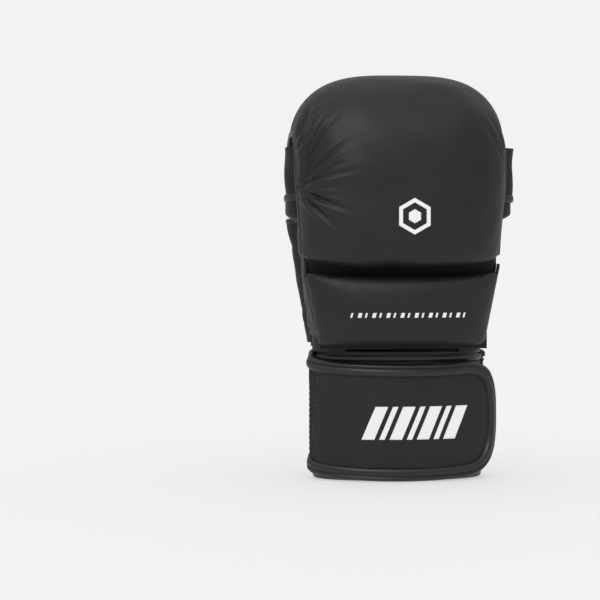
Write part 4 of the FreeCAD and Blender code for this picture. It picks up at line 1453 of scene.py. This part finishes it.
@dataclass
class FingerSleeves:
    """Four finger sleeves with bound mouths, and the palm bar and band that hold them."""

    pitch: float = 37.2
    half_width: float = 18.2
    half_depth: float = 13.8
    middle: float = -6.8
    low: float = 180.5
    high: float = 213.0

    def tube(self, centre: float) -> Form:
        """Sleeve: a superellipse of power 2.6 with soft dents."""
        turn, z = np.meshgrid(full_turn(56), np.linspace(self.low, self.high, 26), indexing="ij")
        a, b = squared(turn, 2.6)
        dent = 1 - 0.03 * np.sin(3 * turn + z * 0.2 + centre) - 0.02 * np.cos(np.pi * (z - 183) / 30)
        x = centre + a * self.half_width * dent
        y = self.middle + b * self.half_depth * dent
        return skin(np.stack([x, y, z], axis=-1), 1.3, wrap_rows=True)

    def mouth(self, centre: float) -> Form:
        """Bound mouth of a sleeve."""
        turn = full_turn(72)
        a, b = squared(turn, 2.6)
        x = centre + a * (self.half_width - 0.6)
        y = self.middle + b * (self.half_depth - 0.6)
        path = np.stack([x, y, 180.6 + 0.3 * np.sin(2 * turn)], axis=-1)
        facing = np.stack([np.cos(turn), np.sin(turn), 0 * turn], axis=-1)
        return roll(path, facing, 2.5, 1.3, 12, 2.4, closed=True)

    def build(self, shop: Workshop) -> None:
        """Make and dress the sleeves, the bar and the band."""
        for number, name in enumerate(("index", "middle", "ring", "little")):
            centre = (number - 1.5) * self.pitch
            shop.add(f"{name}_sleeve", self.tube(centre), Finish.PANEL, Body.PAD, [f"{name}_loop"])
            shop.add(f"{name}_sleeve_edge", self.mouth(centre), Finish.EDGE, Body.PAD,
                     [f"{name}_loop_binding"])
        x, z = spread((-21.0, 62.5, 90), (178.0, 205.0, 40))
        y = 9.5 + 0.7 * np.sin(x * 0.17) * np.sin(z * 0.12)
        shop.add("palm_bar_leather", skin(np.stack([x, y, z], axis=-1), -1.6), Finish.PANEL, Body.PAD,
                 ["palm_bar_panel"])
        x = np.linspace(-20.0, 62.0, 120)
        rolls = []
        for level, thick, out in ((178.2, 2.1, 9.7), (174.9, 1.9, 9.9)):
            sag = 0.5 * np.sin(x * 0.06 + level)
            path = np.stack([x, out + 0.3 * np.sin(x * 0.11), level + sag], axis=-1)
            rolls.append(roll(path, np.array([0.0, 1.0, 0.0]), thick, 2.4, 16, 2.2))
        shop.add("palm_band_rolls", merged(rolls), Finish.EDGE, Body.PAD, ["palm_band"])
        path = np.stack([x, 0 * x + 10.5, 0 * x + 183.0], axis=-1)
        shop.add("palm_band_stitches", stitches(path, np.array([0.0, 1.0, 0.0])), Finish.THREAD, Body.PAD)


@dataclass
class Thumb:
    """Thumb sleeve with its lining, bound mouth, oval pad and free-edge seam."""

    low: float = 86.5
    high: float = 166.0
    pad_centre: tuple = (-40.0, 127.0)
    pad_half: tuple = (18.0, 36.5)
    lean: float = 10.0
    face: float = 45.0
    middle_y: float = 27.0
    half_depth: float = 13.0
    power: float = 2.3

    def section(self, z: Array) -> tuple:
        """Middle across and half width of the sleeve at a height."""
        share = (z - 88.0) / 77.0
        return -27.0 - 19.5 * share, 29.0 - 6.0 * share

    def wall(self, turn: Array, z: Array, out: Union[float, Array] = 0.0) -> Array:
        """Points of the sleeve: an oval that narrows and leans to the thumb side.

        Args:
            turn: Angle round the sleeve, in radians, from the little side.
            z: Height, in millimetres.
            out: Distance outside the sleeve.

        Returns:
            The points.
        """
        middle, half = self.section(z)
        a, b = squared(turn, self.power)
        return np.stack([middle + a * (half + out), self.middle_y + b * (self.half_depth + out), z], axis=-1)

    def palm_face(self, x: Array, z: Array, most: float) -> Array:
        """y of the sleeve's palm side: its middle plus d (1 - |u|^p)^(1 / p), u the share across.

        Args:
            x: Across.
            z: Up.
            most: Largest share across that counts.

        Returns:
            y at each point.
        """
        middle, half = self.section(z)
        share = np.minimum(np.abs((x - middle) / half), most)
        return self.middle_y + self.half_depth * (1 - share ** self.power) ** (1 / self.power)

    def oval(self, turn: Array, across: Array, up: Array) -> tuple:
        """x and z of an oval of power 2.2 round the pad's middle, tilted by its lean.

        Args:
            turn: Angle round it, in radians.
            across: Half width.
            up: Half height.

        Returns:
            x and z.
        """
        a, b = squared(turn, 2.2)
        u, v, tilt = a * across, b * up, math.radians(self.lean)
        return (self.pad_centre[0] + u * math.cos(tilt) - v * math.sin(tilt),
                self.pad_centre[1] + u * math.sin(tilt) + v * math.cos(tilt))

    def sleeve(self) -> Form:
        """Leather of the sleeve, with wrinkles that run round its inner side."""
        turn, z = np.meshgrid(full_turn(110), np.linspace(self.low, self.high, 76), indexing="ij")
        inner = bell(np.cos(turn) - 1.0, 0.8) + 0.5 * bell(np.cos(turn) + 1.0, 0.5)
        crease = -0.7 * inner * (bell(z - 99 - 4 * np.sin(turn), 2.0) + bell(z - 108 - 5 * np.sin(turn), 1.8)
                                 + bell(z - 150 - 5 * np.sin(turn), 2.2))
        return skin(self.wall(turn, z, crease + frill(turn * 20, 0 * z, z, 0.6, 31.0)), 1.3, wrap_rows=True)

    def lining(self) -> Form:
        """Cloth inside the sleeve."""
        turn, z = np.meshgrid(full_turn(80), np.linspace(self.low + 1, self.high - 0.5, 40), indexing="ij")
        return skin(self.wall(turn, z, -1.9 + 0.2 * np.sin(5 * turn)), 0.6, wrap_rows=True)

    def pad(self) -> Form:
        """Oval cushion on the sleeve's outer face: a crown of height (1 - r^3.2)^0.55 over the oval."""
        sides = 96
        r, turn = np.meshgrid(np.sin(np.linspace(0.02, np.pi / 2, 40)), full_turn(sides), indexing="ij")
        x, z = self.oval(turn, r * self.pad_half[0], r * self.pad_half[1])
        base = self.palm_face(x, z, 0.97) - 0.6
        crown = (1 - r ** 3.2) ** 0.55
        top = np.stack([x, base + (self.face - base) * crown, z], axis=-1)
        under = np.stack([x, base - 0.4, z], axis=-1)[::-1]
        grid = np.concatenate([top, under[1:]])
        faces = quads(len(grid), sides, False, True).tolist() + lids(len(grid), sides)
        return Form(grid.reshape(-1, 3), faces)

    def seam(self, grow: float, out: float) -> Array:
        """Line round the pad on the sleeve, grown past the pad's edge and lifted by out."""
        x, z = self.oval(np.linspace(0, 2 * np.pi, 200), self.pad_half[0] + grow, self.pad_half[1] + grow)
        return np.stack([x, self.palm_face(x, z, 0.985) + out, z], axis=-1)

    def build(self, shop: Workshop) -> None:
        """Make and dress the thumb."""
        shop.add("thumb_leather", self.sleeve(), Finish.PANEL, Body.THUMB, ["thumb_shell"])
        shop.add("thumb_lining_cloth", self.lining(), Finish.LINING, Body.THUMB, ["thumb_lining"])
        turn = full_turn(110)
        rim = self.wall(turn, np.full(110, self.high), -1.0)
        facing = np.stack([np.cos(turn), np.sin(turn), 0 * turn], axis=-1)
        shop.add("thumb_mouth_edge", roll(rim, facing, 2.1, 1.5, 14, 2.2, closed=True), Finish.EDGE,
                 Body.THUMB, ["thumb_mouth_binding"])
        pad = shop.add("thumb_pad_leather", self.pad(), Finish.LEATHER, Body.THUMB,
                       ["thumb_pad_cover", "thumb_pad_foam"], 0.7)
        line = spline([(3.9, 27.6, 90), (-2.0, 27.5, 106), (-10.5, 27.5, 130), (-17.0, 27, 152),
                       (-22.5, 27, 164.5)], 120)
        shop.add("thenar_cord", roll(line, np.array([1.0, 0.0, 0.3]), 1.7, 1.6, 14, 2.0), Finish.EDGE,
                 Body.THUMB, ["thenar_binding"])
        rows = stitches(self.seam(2.0, 0.35), np.array([0.0, 1.0, 0.0]))
        shop.add("thumb_pad_stitches", rows, Finish.THREAD, Body.THUMB)
        stencil = Stencil(60.0, 10, 20)
        marks = [stencil.bar(-47.0, 15.0, low, low + deep, -0.18, 127.0, 5.0) for low, deep in (
            (104.0, 6.0), (113.0, 2.6), (118.5, 6.0), (127.5, 2.6), (133.0, 6.0), (142.0, 2.6))]
        shop.project("thumb_pad_print", merged(marks), pad, 1.0, Finish.PRINT, Body.THUMB)


@dataclass
class Studio:
    """Pale floor, soft light and the camera."""

    distance: float = 1.25
    height: float = 0.15
    azimuth: float = -9.0
    turned_left: float = 2.9
    pitched_down: float = 1.61
    lens: float = 115.2
    tone: float = 0.405
    glow: float = 0.5
    dome: float = 0.9
    backdrop: float = 0.888
    side_light: float = 0.36
    top_light: float = 0.85

    def floor(self) -> None:
        """Wide pale floor with a faint unevenness."""
        data = bpy.data.meshes.new("floor")
        size = 40.0
        data.from_pydata([(-size, -size, 0), (size, -size, 0), (size, size, 0), (-size, size, 0)], [],
                         [(0, 1, 2, 3)])
        plane = bpy.data.objects.new("floor", data)
        bpy.context.scene.collection.objects.link(plane)
        graph = Graph.of_material("pale_floor")
        tone = self.tone
        graph.feed("Base Color", graph.mixed(graph.noise(3.0), (tone - 0.004,) * 3, (tone + 0.004,) * 3))
        graph.feed("Roughness", 0.9)
        graph.feed("Specular IOR Level", 0.1)
        graph.feed("Emission Color", (1.0, 1.0, 1.0, 1.0))
        graph.feed("Emission Strength", self.glow)
        data.materials.append(graph.owner)

    def sky(self) -> bpy.types.World:
        """Plain pale surroundings.

        What the leather mirrors is a grey that rises with the height of the direction, from side
        to top; what lights matt surfaces is the same all round.
        """
        graph = Graph(bpy.data.worlds.new("studio"), "Background")
        way = graph.node("ShaderNodeTexCoord", output="Generated")
        height = graph.node("ShaderNodeSeparateXYZ", None, {0: way}, "Z")
        mirrored = graph.node("ShaderNodeMapRange", {"interpolation_type": "SMOOTHSTEP"},
                              {0: height, 1: -0.15, 2: 0.85, 3: self.side_light, 4: self.top_light})
        matt = graph.node("ShaderNodeLightPath", output="Is Diffuse Ray")
        seen = graph.node("ShaderNodeLightPath", output="Is Camera Ray")
        around = graph.node("ShaderNodeMix", None, {0: matt, 2: mirrored, 3: self.dome})
        graph.feed("Strength", graph.node("ShaderNodeMix", None, {0: seen, 2: around, 3: self.backdrop}))
        graph.feed("Color", (1.0, 1.0, 1.0, 1.0))
        return graph.owner

    def light(self, kind: str, name: str, energy: float, size: float, where: tuple, aim: tuple) -> None:
        """A lamp at a place, turned to a point.

        Args:
            kind: SUN or AREA.
            name: The lamp's name.
            energy: Its strength, in the kind's own unit.
            size: Angle of a sun, side of an area lamp in metres.
            where: Its place.
            aim: The point that it is turned to.
        """
        lamp = bpy.data.lights.new(name, kind)
        lamp.energy = energy
        if kind == "SUN":
            lamp.angle = size
        else:
            lamp.shape = "SQUARE"
            lamp.size = size
        made = bpy.data.objects.new(name, lamp)
        made.visible_diffuse = kind == "SUN"
        made.location = where
        made.rotation_euler = (Vector(aim) - Vector(where)).to_track_quat("-Z", "Y").to_euler()
        bpy.context.scene.collection.objects.link(made)

    def build(self) -> None:
        """Set the stage."""
        scene = bpy.context.scene
        self.floor()
        scene.world = self.sky()
        self.light("SUN", "key", 0.2, 1.3, (-0.8, -1.0, 2.4), (0.0, 0.0, 0.0))
        self.light("AREA", "softbox", 11.0, 0.8, (-0.5, -1.3, 1.3), (0.0, -0.02, 0.15))
        camera = bpy.data.cameras.new("camera")
        camera.lens = self.lens
        camera.sensor_width = 36.0
        eye = bpy.data.objects.new("camera", camera)
        turn = math.radians(self.azimuth)
        eye.location = (self.distance * math.sin(turn), -self.distance * math.cos(turn), self.height)
        eye.rotation_euler = (math.radians(90.0 - self.pitched_down), 0.0,
                              turn + math.radians(self.turned_left))
        scene.collection.objects.link(eye)
        scene.camera = eye
        scene.view_settings.view_transform = "Standard"
        scene.view_settings.look = "None"


def main() -> None:
    """Build the glove and its stage."""
    logging.basicConfig(level=logging.INFO, format="%(name)s %(message)s")
    shop = Workshop()
    for part in (Cuff(), WristStrap(), Hand(), KnucklePad(), FingerSleeves(), Thumb()):
        log.info("building %s", type(part).__name__)
        part.build(shop)
    Studio().build()
    log.info("%d pieces", len(shop.pieces))


if __name__ == "__main__":
    main()
